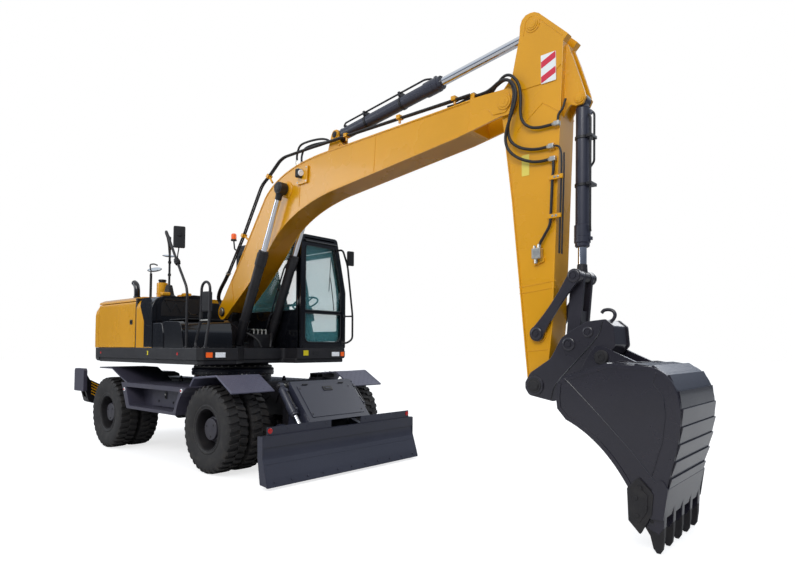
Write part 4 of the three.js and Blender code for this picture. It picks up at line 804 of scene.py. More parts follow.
p.finish()

p = over("nose_locker", "chassis", "grey_paint")
profile = [(1961, 1094), (1985, 1092), (2003, 1060), (2377, 637), (2366, 632), (1994, 1052), (1975, 1080),
    (1961, 1082)]
p.prism(fillet(profile, [0, 12, 30, 4, 4, 20, 10, 0]), -498, 498, BLUE, bevel=3)
for side in (-1, 1):
    cheek = [(1961, 1092), (1984, 1088), (2000, 1056), (2374, 636), (2300, 600), (1961, 560)]
    p.prism(fillet(cheek, [0, 10, 30, 4, 20, 0]), side * 486, side * 499, BLUE, bevel=3)
slope = Vector((2377 - 2003, 637 - 1060)).normalized()
normal = Vector((-slope.y, slope.x))
lean = turned(math.atan2(-slope.y, slope.x))


def on_slope(s, y, h=0.0):
    q = Vector((2003, 1062)) + slope * s + normal * h
    return (q.x, y, q.y)


p.slant(on_slope(270, 0, 2), (470, 860, 8), lean, BLUE, 3)
p.slant(on_slope(96, 30, 10), (64, 150, 12), lean, BLACK, 4)
p.slant(on_slope(96, 30, 15), (38, 110, 6), lean, PLASTIC, 3)
p.slant(on_slope(96, 30, 18), (14, 84, 6), lean, BLUE, 2)
for y in (-300, 300):
    p.rod(on_slope(20, y - 40, 10), on_slope(20, y + 40, 10), 9, BLACK)
for s in (80, 460):
    for y in (-405, 405):
        p.bolt(on_slope(s, y, 6), (normal.x, 0, normal.y), 7, BLACK)
p.finish()

# ---------------------------------------------------------------- blade

p = over("blade", "blade", "grey_paint")
front = [(2574, 30), (2544, 140), (2500, 250), (2474, 350), (2468, 430), (2472, 500), (2479, 560)]
back = [(2419, 560), (2412, 470), (2420, 360), (2440, 250), (2494, 140), (2544, 30)]
p.prism(front + back, -1238, 1238, BLUE, bevel=2)
# bolted cutting edge and the flat bands across the mould board
p.prism([(2576, 30), (2550, 118), (2538, 116), (2560, 30)], -1236, 1236, BLUE, bevel=1.5)
for y in range(-1140, 1141, 228):
    p.bolt((2560, y, 78), (0.95, 0, 0.28), 13, BLUE, False)
p.prism([(2500, 262), (2482, 318), (2476, 316), (2494, 260)], -1236, 1236, BLUE, bevel=1)
p.prism([(2480, 440), (2484, 560), (2474, 560), (2470, 440)], -1236, 1236, BLUE, bevel=1)
for side in (-1, 1):
    plate = [(2570, 38), (2534, 160), (2478, 330), (2479, 470), (2479, 560), (2389, 560), (2395, 330),
        (2440, 50)]
    p.prism(fillet(plate, [4, 20, 30, 10, 6, 14, 20, 14]), side * 1229, side * 1245, BLUE, bevel=3)
    p.prism([(2461, 540), (2461, 652), (2448, 652), (2448, 540)], side * 250, side * 1170, BLUE, bevel=2)
    p.box(2440, 2450, side * 270, side * 1150, 556, 566, BLUE, 2)
    for y in (330, 620, 900, 1120):
        p.prism([(2448, 556), (2448, 640), (2400, 560)], side * y, side * (y + 10), BLUE, bevel=1)
        p.bolt((2461, side * y, 618), (1, 0, 0), 8, BLUE, False)
    p.lathe([(0, 0), (30, 0), (30, 6), (24, 10), (0, 11)], (2461, side * 1135, 610), (1, 0, 0), RED, 24)
    y = side * BLADE_Y
    p.prism(link_outline(BLADE_PIVOT, (2400, 360), 62, 70), y - 38, y + 38, BLUE, bevel=5,
        holes=[arc(*BLADE_PIVOT, 36, 0, 348, 24)])
    for k in (-1, 1):
        ear = fillet([(2295, 475), (2404, 405), (2420, 555), (2320, 550)], [36, 4, 4, 36])
        p.prism(ear, y + k * 32, y + k * 50, BLUE, bevel=3)
        p.pin(BLADE_EYE, 38, y + k * 50, y + k * 58, BLACK)
    p.pin(BLADE_EYE, 26, y - 56, y + 56, SILVER)
    p.prism([(2380, 180), (2440, 120), (2436, 320), (2400, 330)], side * 640, side * 656, BLUE, bevel=2)
    p.prism([(2400, 300), (2440, 120), (2440, 500), (2404, 520)], side * 930, side * 944, BLUE, bevel=2)
p.rod((2330, -BLADE_Y, 355), (2330, BLADE_Y, 355), 55, BLUE, 32)
for z in (250, 420):
    p.box(2390, 2424, -1225, 1225, z, z + 40, BLUE, 4)
p.finish()

for side, where in SIDES:
    length = span(BLADE_FOOT, BLADE_EYE)
    p = over(f"blade_barrel_{where}", f"blade_barrel_{where}", "dark_paint")
    p.turn = aim(BLADE_FOOT, BLADE_EYE, side * BLADE_Y)
    barrel(p, 440, 50, 44, 30)
    p.tube(bent([(130, side * 12, 62), (170, side * 12, 74), (380, side * 12, 74), (400, side * 12, 60)],
        20), 8, BLACK)
    p.finish()
    p = over(f"blade_rod_{where}", f"blade_rod_{where}", "rod_chrome")
    p.turn = aim(BLADE_FOOT, BLADE_EYE, side * BLADE_Y)
    rod_and_eye(p, 285, length, 28, 44, 26)
    p.finish()

# ---------------------------------------------------------------- outriggers

for side, where in SIDES:
    p = over(f"outrigger_{where}", f"outrigger_{where}", "dark_paint")
    cheek = [(375, 440), (450, 408), (1120, 620), (1180, 845), (1180, 965), (1100, 975), (820, 830),
        (410, 532)]
    cheek = fillet([(side * y, z) for y, z in cheek], [40, 40, 60, 10, 14, 40, 60, 40])
    hole = arc(side * LEG_PIVOT[0], LEG_PIVOT[1], 34, 0, 348, 24)
    eye_y, eye_z = side * LEG_EYE[0], LEG_EYE[1]
    for k in (-1, 1):
        p.prism(cheek, LEG_X + k * 62, LEG_X + k * 104, BLACK, "x", 4, holes=[hole])
        p.rod((LEG_X + k * 104, eye_y, eye_z), (LEG_X + k * 112, eye_y, eye_z), 36, BLACK)
        p.rod((LEG_X + k * 64, eye_y, eye_z), (LEG_X + k * 108, eye_y, eye_z), 26, SILVER)
    p.prism([(side * 700, 530), (side * 1120, 622), (side * 1150, 700), (side * 700, 590)], LEG_X - 66,
        LEG_X + 66, BLACK, "x", 3)
    p.box(LEG_X - 68, LEG_X + 68, side * 1080, side * 1182, 812, 958, BLACK, 6)
    pad = fillet([(LEG_X - 190, 797), (LEG_X + 190, 797), (LEG_X + 190, 1130), (LEG_X + 158, 1163),
        (LEG_X - 158, 1163), (LEG_X - 190, 1130)], [24, 24, 10, 10, 10, 10])
    p.prism(pad, side * 1180, side * 1240, STEP, bevel=7)
    for k in (-1, 1):
        p.prism([(side * 1182, 815), (side * 1182, 1100), (side * 1100, 950), (side * 1100, 870)],
            LEG_X + k * 112, LEG_X + k * 126, BLACK, "x", 2)
    # hazard stripes on the faces that look forwards and backwards
    for z in range(700, 930, 46):
        stripe = [(side * 960, z - 30), (side * 1085, z + 42), (side * 1085, z + 62), (side * 960, z - 10)]
        for face in (-1, 1):
            p.prism(stripe, LEG_X + face * 103, LEG_X + face * 106, OCHRE, "x", 0)
    p.lathe([(0, 0), (11, 0), (9, 3), (0, 4)], (LEG_X + 104, side * 1140, 905), (1, 0, 0), SILVER, 16)
    p.finish()
    length = span(LEG_FOOT, LEG_EYE)
    fall = math.atan2(LEG_EYE[1] - LEG_FOOT[1], LEG_EYE[0] - LEG_FOOT[0])
    turn = (Matrix.Translation((LEG_X, side * LEG_FOOT[0], LEG_FOOT[1]))
        @ Matrix.Rotation(side * pi / 2, 4, "Z") @ Matrix.Rotation(-fall, 4, "Y"))
    p = over(f"outrigger_barrel_{where}", f"outrigger_barrel_{where}", "dark_paint")
    p.turn = turn
    barrel(p, 480, 44, 40, 34, ports=False)
    p.finish()
    p = over(f"outrigger_rod_{where}", f"outrigger_rod_{where}", "rod_chrome")
    p.turn = turn
    rod_and_eye(p, 100, length, 26, 40, 30)
    p.finish()

# ---------------------------------------------------------------- upper deck


def rounded_box(part, x0, x1, y0, y1, z0, z1, r, m, n=6):
    """A box with every edge rounded to the radius r."""
    bm = bmesh.new()
    bmesh.ops.create_cube(bm, size=1)
    for v in bm.verts:
        v.co = Vector((x0 if v.co.x < 0 else x1, y0 if v.co.y < 0 else y1, z0 if v.co.z < 0 else z1))
    bmesh.ops.bevel(bm, geom=list(bm.edges), offset=r, segments=n, profile=0.5, affect="EDGES",
        clamp_overlap=True)
    part.take(bm, m)


DECK_LOW, DECK_TOP = 1290, 1500
ON_DECK = 1500.8         # where loose pieces stand, a hair above the deck
p = Part("deck", "upper", "dark_paint", "upper_frame")
plan = [(-1800, -1240), (1107, -1240), (1167, -1180), (1167, -700), (900, -430), (900, 230), (1167, 280),
    (1167, 1180), (1107, 1240), (-1800, 1240)]
p.prism(fillet(plan, [0, 50, 50, 20, 60, 60, 20, 50, 50, 0]), DECK_LOW + 60, DECK_TOP, BLACK, "z", 5)
low = fillet([(-1800, -1215), (1090, -1215), (1142, -1165), (1142, -700), (880, -420), (880, 220),
    (1142, 270), (1142, 1165), (1090, 1215), (-1800, 1215)], [0, 50, 50, 20, 60, 60, 20, 50, 50, 0])
p.prism(low, DECK_LOW, DECK_LOW + 66, BLACK, "z", 16, 3)
for side in (-1, 1):
    # the skirt's rolled edge, its seam and its reflectors
    p.tube([(-1798, side * 1228, 1362), (1090, side * 1228, 1362)], 12, BLACK, 12)
    p.tube([(-1798, side * 1232, 1492), (1100, side * 1232, 1492)], 9, BLACK, 12)
    for x in (-1700, 640):
        p.lathe([(0, 0), (20, 0), (19, 4), (0, 6)], (x, side * 1239, 1424), (0, side, 0), RED, 24)
    p.box(-178, -150, side * 1238, side * 1242, 1402, 1462, MARK, 1)
# lamps let into the deck's front corners
for housing, amber, white in (((-1180, -860), (-1150, -1060), (-1020, -880)),
        ((880, 1190), (1100, 1170), (920, 1070))):
    p.box(1160, 1170, *housing, 1370, 1460, PLASTIC, 6)
    p.box(1166, 1174, *amber, 1382, 1446, AMBER, 8)
    p.box(1166, 1174, *white, 1382, 1446, WHITE, 10)
p.box(1166, 1172, 560, 680, 1400, 1460, PLASTIC, 8)
p.box(1167, 1171, 380, 470, 1396, 1470, MARK, 2)
p.lathe([(0, 1210.9), (560, 1210.9), (566, 1218), (566, 1238), (520, 1246), (500, 1292), (0, 1292)],
    (0, 0, 0), (0, 0, 1), BLACK, 72)
for x, y in round_about(36, 548):
    p.bolt((x, y, 1240), (0, 0, 1), 9, SILVER)
tread(p, 740, 1090, -1200, -760, lambda u, v, h: (u, v, DECK_TOP + h), BLACK)
# the boom's foot bracket, two cheeks and their gussets
cheek = [(-420, 1498), (370, 1498), (390, 1640), (230, 1790), (90, 1862), (30, 1912), (30, 2050),
    (-10, 2120), (-110, 2120), (-152, 2050), (-330, 1700)]
cheek = fillet(cheek, [0, 0, 60, 30, 20, 20, 30, 40, 40, 40, 60])
for k in (-1, 1):
    p.prism(cheek, k * 60, k * 104, BLACK, bevel=4)
    p.prism([(-380, 1498), (-330, 1498), (-120, 1900), (-150, 1960)], k * 100, k * 116, BLACK, bevel=3)
p.box(-340, 340, -62, 62, 1498, 1680, BLACK, 6)
p.box(-170, 20, -62, 62, 1640, 1900, BLACK, 6)
p.pin(BOOM_FOOT, 50, -195, 195, SILVER)
for k in (-1, 1):
    p.capped_pin(BOOM_FOOT, 70, k * 172, k, BLACK)
# the block between the feet of the boom's cylinders
block = [(320, 1390), (550, 1390), (565, 1490), (530, 1570), (420, 1580), (320, 1620)]
p.prism(fillet(block, [0, 0, 40, 40, 30, 10]), -190, 190, BLACK, bevel=6,
    holes=[arc(*CYL_FOOT, 43, 0, 348, 24)])
for y in (-190, -70, 70, 190):
    p.pin(CYL_FOOT, 70, y - 8, y + 8, BLACK)
# bulkhead and the wall behind the tank
p.box(-560, -520, -1236, 1215, 1495, 2200, BLACK, 8)
for side in (-1, 1):
    cover = fillet([(side * 700, 2160), (side * 1236, 2160), (side * 1226, 2190), (side * 1150, 2226),
        (side * 700, 2246)], [0, 6, 20, 60, 0])
    p.prism(cover, -1800, -540, OCHRE, "x", 4)
    p.box(-1790, -1760, side * 1205, side * 1235, 1495, 1506, BLACK, 2)


def shoulder(outer, z0, z1, r, top):
    """Section in Y and Z of the right-hand covers: a flat flank, a round shoulder and a crowned top."""
    return [(outer, z0), (outer, z1 - r)] + arc(outer + r, z1 - r, r, 180, 100,
        10) + [(outer + r * 2.6, z1 + 14), top]


section = shoulder(-1239, 1502, 2212, 170, (-640, 2256)) + [(-400, 2256), (-384, 2226), (-384, 1502)]
p.prism(section, -530, -330, OCHRE, "x", 5)
p.prism(section, -324, -66, OCHRE, "x", 5)
# black corner of the covers with the slanted window panel in their flank
dark = [(y - 2 if y < -1000 else y, max(z + 2, 1502)) for y, z in section]
p.prism(dark, -300, -56, GLOSS, "x", 14, 3)
window = fillet([(-371, 2190), (-410, 2083), (-291, 1870), (-229, 1804), (-72, 1800), (-76, 2151),
    (-110, 2190)], [20, 40, 60, 40, 16, 20, 20])
p.prism(window, -1243, -1236, GLOSS, bevel=3)
front_wall = fillet([(-1180, 1505), (-1180, 2110), (-1110, 2216), (-520, 2236), (-450, 2190), (-450, 1505)],
    [6, 80, 80, 60, 40, 6])
p.prism(front_wall, -58, -46, GLOSS, "x", 4)
panel = fillet([(-1120, 1940), (-1120, 2110), (-1070, 2188), (-540, 2204), (-500, 2160), (-500, 1940)],
    [10, 50, 60, 50, 30, 10])
p.prism(panel, -50, -42, PLASTIC, "x", 3)
for y0 in (-1080, -940):
    tri = [(-41, y0, 2160), (-41, y0 + 190, 2160), (-41, y0 + 95, 2000)]
    p.tube(tri + [tri[0]], 7, GLOSS, 8)
p.tube([(-41, y, z) for y, z in arc(-640, 2080, 110, 150, 330, 16)], 8, GLOSS, 8)
# pieces on top: latches, pre-cleaner, exhaust, masts and mirrors
MAST = (-230, -920)
for x, y in ((-180, -1000), (-110, -720), (-420, -620)):
    rounded_box(p, x - 45, x + 45, y - 60, y + 60, 2230, 2282, 18, OCHRE)
p.lathe([(0, 2195), (74, 2195), (74, 2262), (80, 2266), (80, 2274), (74, 2278), (74, 2420), (68, 2428),
    (0, 2428)], (-370, -950, 0), (0, 0, 1), OCHRE, 40)
p.lathe([(0, 2424), (46, 2424), (46, 2450), (54, 2452), (54, 2470), (46, 2476), (0, 2476)], (-370, -950, 0),
    (0, 0, 1), PLASTIC, 32)
pipe = curve([(-850, -1090, 2200), (-850, -1090, 2300), (-858, -1090, 2370), (-885, -1090, 2425),
    (-935, -1090, 2455)], 6)
p.tube(pipe, 42, GLOSS, 28)
p.lathe([(0, 0), (72, 0), (72, 12), (50, 20), (46, 60), (0, 60)], (-850, -1090, 2196), (0, 0, 1), GLOSS, 32)
p.lathe([(36, 0), (41, 2), (41, 10), (36, 12)], (-938, -1090, 2456), (-0.88, 0, 0.47), WORN, 28,
    closed=True)
p.lathe([(0, 0), (90, 0), (90, 14), (72, 26), (52, 120), (44, 160), (30, 168), (0, 168)], (*MAST, 2225),
    (0, 0, 1), PLASTIC, 32)
for z0, z1, r in ((2380, 3081, 15), (2520, 2554, 22), (2700, 2734, 22), (2900, 2934, 22)):
    p.rod((*MAST, z0), (*MAST, z1), r, PLASTIC, 20)
p.tube(bent([(*MAST, 3070), (-225, -960, 3120), (-180, -1010, 3130), (-150, -985, 2960),
    (-150, -970, 2810)], 40), 8, PLASTIC)
p.lathe([(0, -14), (60, -12), (86, -4), (90, 0), (86, 4), (0, 6)], (-150, -970, 2794), (0.25, -0.1, 1),
    PLASTIC, 36)
p.lathe([(0, 6), (82, 5), (60, 8), (0, 9)], (-150, -970, 2794), (0.25, -0.1, 1), MIRROR, 36)
p.tube(bent([(-450, -1080, 2205), (-450, -1080, 2560), (-470, -1090, 2690), (-440, -1040, 2700),
    (-420, -1000, 2680)], 30), 10, PLASTIC)
p.rod((-450, -1080, 2190), (-450, -1080, 2560), 17, PLASTIC, 20)
p.lathe([(0, -20), (50, -18), (88, -8), (98, 0), (92, 5), (0, 6)], (-450, -1029, 2619), (0.3, -0.35, 1),
    PLASTIC, 36)
p.lathe([(0, 6), (88, 5), (70, 9), (0, 11)], (-450, -1029, 2619), (0.3, -0.35, 1), MIRROR, 36)
# hoses from the valve block to the boom cylinders, and their elbows
for y in (-150, 150):
    p.tube(curve([(420, y, 1600), (500, y * 1.6, 1690), (640, y * 1.4, 1710), (760, y * 0.8, 1620),
        (800, y * 0.5, 1510)], 8), 18, HOSE)
for y in (-77, -9, 60, 129):
    p.rod((620, y, 1700), (620, y, 1744), 16, SILVER, 6)
    p.tube(bent([(620, y, 1740), (620, y, 1765), (560, y, 1765)], 20), 12, SILVER, 12)
    p.tube(curve([(565, y, 1765), (500, y, 1758), (430, y * 0.9, 1720), (380, y * 0.8, 1650)], 8), 15, HOSE,
        12)
p.box(560, 680, -120, 170, ON_DECK, 1700, BLACK, 10)
p.finish()

# ---------------------------------------------------------------- counterweight, hood, doors and engine


TAIL_R, TAIL_HALF, TAIL_FRONT = 2285, 1240, -1800.3


def tail_outline(inset):
    r, h = TAIL_R - inset, TAIL_HALF - inset
    a = math.degrees(math.asin(h / r))
    return [(TAIL_FRONT, -h)] + arc(0, 0, r, 180 + a, 180 - a, 20) + [(TAIL_FRONT, h)]


p = over("counterweight", "upper", "ochre_paint")
rings = [(1296, 58), (1302, 30), (1330, 14), (1362, 12), (1500, 10), (1508, 2), (1700, 0), (1990, 0),
    (2060, 10), (2130, 44), (2180, 90), (2204, 140), (2214, 200)]
outlines = [[(x, y, z) for x, y in tail_outline(inset)] for z, inset in rings]
p.loft(outlines[4:], OCHRE)
p.loft(outlines[:4] + [[(x, y, 1498) for x, y, z in outlines[4]]], BLACK)
for y in (-760, 760):
    p.lathe([(0, 0), (44, 0), (44, 4), (30, 6), (28, 2), (0, 2)],
        (-math.sqrt(TAIL_R ** 2 - y * y), y, 2010), (-1, y / TAIL_R, 0), PLASTIC, 28)
    rounded_box(p, -2230 + abs(y) * 0.06, -2165 + abs(y) * 0.06, y - 90, y + 90, 1590, 1660, 10, RED)
for y in (-330, 330):
    p.tube(bent([(-2020, y, 2206), (-2020, y, 2240), (-1900, y, 2240), (-1900, y, 2206)], 24), 14, BLACK,
        12)
rounded_box(p, -2292, -2262, -60, 60, 2060, 2120, 10, PLASTIC)
p.finish()

p = over("hood", "hood", "dark_paint")
section = [(-690, 2172), (690, 2172), (690, 2210), (720, 2214), (712, 2236), (640, 2262), (-640, 2262),
    (-712, 2236), (-720, 2214), (-690, 2210)]
p.prism(fillet(section, [0, 0, 0, 4, 20, 40, 40, 20, 4, 0]), -1792, -568, OCHRE, "x", 8, 3)
for x in (-1600, -1400, -1200, -1000, -800):
    p.prism(fillet([(x, -560), (x + 110, -560), (x + 110, 560), (x, 560)], 26), 2259, 2265, GLOSS, "z", 2)
for y in (-420, 420):
    p.tube(bent([(-760, y, 2258), (-760, y, 2292), (-640, y, 2292), (-640, y, 2258)], 18), 9, PLASTIC)
p.finish()

for side, where in SIDES:
    p = over(f"side_door_{where}", f"side_door_{where}", "ochre_paint")
    flank = [(side * 1202, 1506), (side * 1240, 1506), (side * 1240, 2080), (side * 1236, 2130),
        (side * 1228, 2152), (side * 1202, 2154)]
    p.prism(fillet(flank, [0, 0, 60, 30, 10, 0]), -1794, -566, OCHRE, "x", 4)
    p.box(-720, -640, side * 1238, side * 1246, 1830, 1900, PLASTIC, 5)
    p.box(-706, -654, side * 1244, side * 1250, 1850, 1884, GLOSS, 4)
    if side > 0:
        for k in range(12):
            z = 1640 + 32 * k
            p.slant((-1400, side * 1240, z), (460, 10, 20), turned(side * 0.6, "X"), PLASTIC, 2)
        p.box(-1640, -1160, side * 1238, side * 1242, 1615, 2015, PLASTIC, 8)
    p.finish()

p = over("engine", "upper", "grey_paint")
p.box(-1650, -800, -300, 300, 1560, 1900, CAST, 20)
p.box(-1600, -850, -180, 180, 1890, 2040, CAST, 24)
for k in range(6):
    p.rod((-1540 + k * 120, 0, 2030), (-1540 + k * 120, 0, 2048), 40, CAST)
for side in (-1, 1):
    for x in (-1500, -950):
        p.box(x - 60, x + 60, side * 300, side * 418, 1501, 1640, BLACK, 8)
p.rod((-1450, 360, 1800), (-1000, 360, 1800), 58, OCHRE, 32)
p.rod((-1640, 0, 1760), (-1655, 0, 1760), 200, BLACK, 40)
p.finish()

# ---------------------------------------------------------------- tank and battery housing

p = over("tank", "upper", "dark_paint")
side_face = fillet([(-43, 1501), (250, 1501), (250, 1700), (205, 1836), (-43, 1836)], [0, 14, 60, 50, 0])


def crowned(bm):
    for v in bm.verts:
        if v.co.z > 1700:
            v.co.z += 40 * min(1.0, max(0.0, (v.co.y + 1236) / 400)) ** 0.8


p.prism(side_face, -1236, -1180, GLOSS, bevel=10, segments=3)
p.prism([(-43, 1501), (240, 1501), (240, 1800), (205, 1832), (-43, 1832)], -1200, -500, GLOSS, bevel=6,
    shape=crowned)
bulge = fillet([(210, 1501), (715, 1501), (715, 1600), (705, 1730), (640, 1838), (300, 1850), (210, 1842)],
    [0, 6, 60, 120, 150, 40, 0], 8)


def bulging(bm):
    for v in bm.verts:
        t = max(0.0, (v.co.x - 210) / 500)
        if v.co.y < -1000:
            v.co.y += 26 * t * t
            s = (v.co.z - 1501) / 350
            v.co.y -= 18 * sin(pi * min(1, max(0, s))) * t
        if v.co.z > 1780:
            v.co.z += 40 * min(1.0, max(0.0, (v.co.y + 1236) / 500))


p.prism(bulge, -1228, -490, GLOSS, bevel=34, segments=5, shape=bulging)
p.tube([(212, -1226, 1510), (212, -1230, 1790), (205, -1190, 1846), (200, -900, 1876)], 7, PLASTIC, 8)
p.box(180, 640, -1120, -560, 1872, 1884, PLASTIC, 5)
tread(p, 190, 630, -1110, -570, lambda u, v, h: (u, v, 1884 + h), PLASTIC)
p.lathe([(0, 0), (52, 0), (52, 16), (40, 24), (0, 24)], (60, -820, 1866), (0, 0, 1), GLOSS, 32)
p.box(560, 700, -1150, -900, 1501, 1512, PLASTIC, 3)
p.finish()

# ---------------------------------------------------------------- handrails and mirrors

p = over("handrail", "upper", "dark_paint")
y = -1190
post = bent([(769, y, ON_DECK), (769, y, 2190), (740, y, 2290), (496, y, 2625), (187, y, 3069),
    (120, y + 30, 3060), (-60, -1010, 2960), (-205, -930, 2900)], 60)
p.tube(post, 17, BLACK, 16)
p.rod((520, y, 2592), (468, y, 2662), 34, PLASTIC, 24)
p.rod((505, y, 2612), (485, y, 2640), 40, PLASTIC, 24)
p.tube(bent([(496, y, 2640), (505, y, 2720), (530, y, 2790), (535, y, 2860)], 40), 8, BLACK, 10)
glass_turn = turned(radians(-24), "Z")
p.slant((538, -1190, 2945), (50, 146, 286), glass_turn, PLASTIC, 18)
p.slant((516, -1181, 2945), (10, 124, 262), glass_turn, MIRROR, 4)
p.rod((550, -1195, 2975), (576, -1205, 2975), 24, PLASTIC, 20)
hoop = bent([(860, -1110, ON_DECK), (830, -1104, 1560), (870, -1056, 1836), (870, -1050, 2240)], 60)
hoop += [(970 - 100 * cos(radians(a)), -1050, 2240 + 100 * sin(radians(a))) for a in range(8, 173, 12)]
hoop += bent([(1070, -1050, 2240), (1070, -1056, 1836), (1080, -1104, 1560), (1080, -1110, ON_DECK)], 60)
p.tube(hoop, 17, BLACK, 16)
p.rod((870, -1056, 1850), (1070, -1056, 1850), 14, SILVER, 20)
p.rod((870, -1050, 2050), (920, -1050, 2050), 12, BLACK, 16)
for x in (870, 1070):
    p.rod((x, -1056, 1880), (x, -1050, 1950), 24, PLASTIC, 24)
p.slant((975, -1036, 2090), (150, 40, 260), turned(radians(14), "Z"), PLASTIC, 22)
p.slant((975, -1016, 2090), (128, 10, 236), turned(radians(14), "Z"), MIRROR, 4)
for x, yy in ((769, y), (860, -1110), (1080, -1110)):
    p.lathe([(0, 0), (44, 0), (44, 8), (22, 12), (20, 30), (0, 30)], (x, yy, ON_DECK), (0, 0, 1), BLACK, 28)
    for u, v in round_about(4, 33, pi / 4):
        p.bolt((x + u, yy + v, 1508), (0, 0, 1), 5)
p.finish()

# ---------------------------------------------------------------- cab

CAB_REAR, CAB_FRONT, CAB_RIGHT, CAB_LEFT, WAIST, CAB_TOP = -505, 1140, 346, 1220, 2350, 3155


def left_at(z):
    return CAB_LEFT if z < WAIST else CAB_LEFT - (CAB_LEFT - 1055) * (z - WAIST) / (3050 - WAIST)


def cab_section(inset=0.0, r=70):
    pts = [(CAB_RIGHT + inset, 1500.5 + inset), (CAB_LEFT - inset, 1500.5 + inset),
        (CAB_LEFT - inset, WAIST), (left_at(CAB_TOP) - inset + 4, CAB_TOP - inset),
        (CAB_RIGHT + inset, CAB_TOP - inset)]
    return fillet(pts, [12, 26, 60, r, r])


p = over("cab_shell", "upper", "dark_paint")
# front frame: two openings with a bar between them
OPEN_RIGHT, OPEN_LEFT = 426, 1120
frame_hole = fillet([(OPEN_RIGHT, 2055), (OPEN_LEFT, 2055), (OPEN_LEFT, WAIST), (left_at(3000) - 95, 3000),
    (OPEN_RIGHT, 3000)], [14, 20, 80, 60, 50])
low_hole = fillet([(OPEN_RIGHT, 1590), (OPEN_LEFT, 1590), (OPEN_LEFT, 2010), (OPEN_RIGHT, 2010)],
    [90, 120, 14, 14])
p.prism(cab_section(), CAB_FRONT - 60, CAB_FRONT, GLOSS, "x", 9, holes=[frame_hole, low_hole], segments=3)
p.prism(fillet([(380, 1506), (1190, 1506), (1190, 1560), (380, 1560)], 16), CAB_FRONT - 2, CAB_FRONT + 8,
    GLOSS, "x", 4)
rear_hole = fillet([(OPEN_RIGHT, 2150), (1000, 2150), (960, 2980), (OPEN_RIGHT, 2980)], 60)
p.prism(cab_section(), CAB_REAR, CAB_REAR + 50, GLOSS, "x", 9, holes=[rear_hole], segments=3)
# right wall
right_hole = fillet([(-435, 2050), (1040, 2050), (1040, 2990), (-435, 2990)], [60, 60, 60, 60])
wall = fillet([(CAB_REAR + 30, 1502), (CAB_FRONT - 30, 1502), (CAB_FRONT - 30, 3080),
    (CAB_REAR + 30, 3080)], 20)
p.prism(wall, CAB_RIGHT, CAB_RIGHT + 42, GLOSS, holes=[right_hole], bevel=4)
for z in (1640, 1780):
    p.box(CAB_REAR + 90, CAB_FRONT - 90, CAB_RIGHT - 3, CAB_RIGHT + 4, z, z + 60, GLOSS, 3)


def left_panel(part, x0, x1, z0, z1, out=0.0, thick=42, m=GLOSS, bevel=4):
    heights = [z0] + ([WAIST - 60, WAIST, WAIST + 60] if z0 < WAIST - 60 and z1 > WAIST + 60 else []) + [z1]

    def at(z):
        return left_at(z) - (10 if abs(z - WAIST) < 1 else 0) + out

    outline = [(at(z), z) for z in heights] + [(at(z) - thick, z) for z in reversed(heights)]
    part.prism(outline, x0, x1, m, "x", bevel)


left_panel(p, CAB_REAR + 20, 196, 1502, 2150)
left_panel(p, CAB_REAR + 20, -405, 2148, 3060)
left_panel(p, 110, 196, 2148, 3060)
left_panel(p, -410, 115, 2968, 3060)
left_panel(p, 1064, CAB_FRONT - 20, 1502, 3060)
left_panel(p, 190, 1070, 1502, 1596)
left_panel(p, 190, 1070, 2994, 3060)
p.box(CAB_REAR + 20, CAB_FRONT - 20, CAB_RIGHT + 10, CAB_LEFT - 10, 1501, 1550, INSIDE, 3)
# roof with its rounded edge and its thin plates
roof = fillet([(CAB_REAR, CAB_RIGHT), (CAB_FRONT, CAB_RIGHT), (CAB_FRONT, 1036), (CAB_REAR, 1036)], 60)
p.prism(roof, 3060, 3149, GLOSS, "z", 34, 5)
p.prism(fillet([(-60, 470), (700, 470), (700, 930), (-60, 930)], 60), 3146, 3154, GLOSS, "z", 4)
p.prism(fillet([(-420, 440), (-130, 440), (-130, 960), (-420, 960)], 40), 3146, 3152, GLOSS, "z", 3)
visor = fillet([(1120, 3092), (1176, 3062), (1182, 3050), (1168, 3047), (1120, 3060)], [0, 20, 6, 6, 0])
p.prism(visor, 400, 1020, GLOSS, bevel=3)
# rubber round the glass, wiper, grab handles and lining
for hole in (frame_hole, low_hole):
    p.tube([(CAB_FRONT + 1, y, z) for y, z in hole + hole[:1]], 7, PLASTIC, 8)
p.tube([(x, CAB_RIGHT - 1, z) for x, z in right_hole + right_hole[:1]], 7, PLASTIC, 8)
p.tube([(CAB_REAR - 1, y, z) for y, z in rear_hole + rear_hole[:1]], 7, PLASTIC, 8)
p.tube(curve([(1140, 980, 2070), (1150, 940, 2300), (1146, 900, 2560)], 6), 6, PLASTIC, 8)
p.tube([(1138, 880, 2350), (1138, 914, 2860)], 5, PLASTIC, 8)
p.tube(bent([(CAB_REAR + 40, 1010, 1640), (CAB_REAR - 34, 1020, 1660), (CAB_REAR - 34, 1020, 2080),
    (CAB_REAR + 20, 1010, 2100)], 30), 14, BLACK, 12)
p.box(CAB_REAR + 52, CAB_FRONT - 60, CAB_RIGHT + 43, 1010, 3000, 3046, INSIDE, 8)
p.box(CAB_REAR + 52, -380, CAB_RIGHT + 44, 1150, 1550, 2120, INSIDE, 20)
p.box(CAB_FRONT - 130, CAB_FRONT - 62, 440, 1080, 1552, 1600, INSIDE, 8)
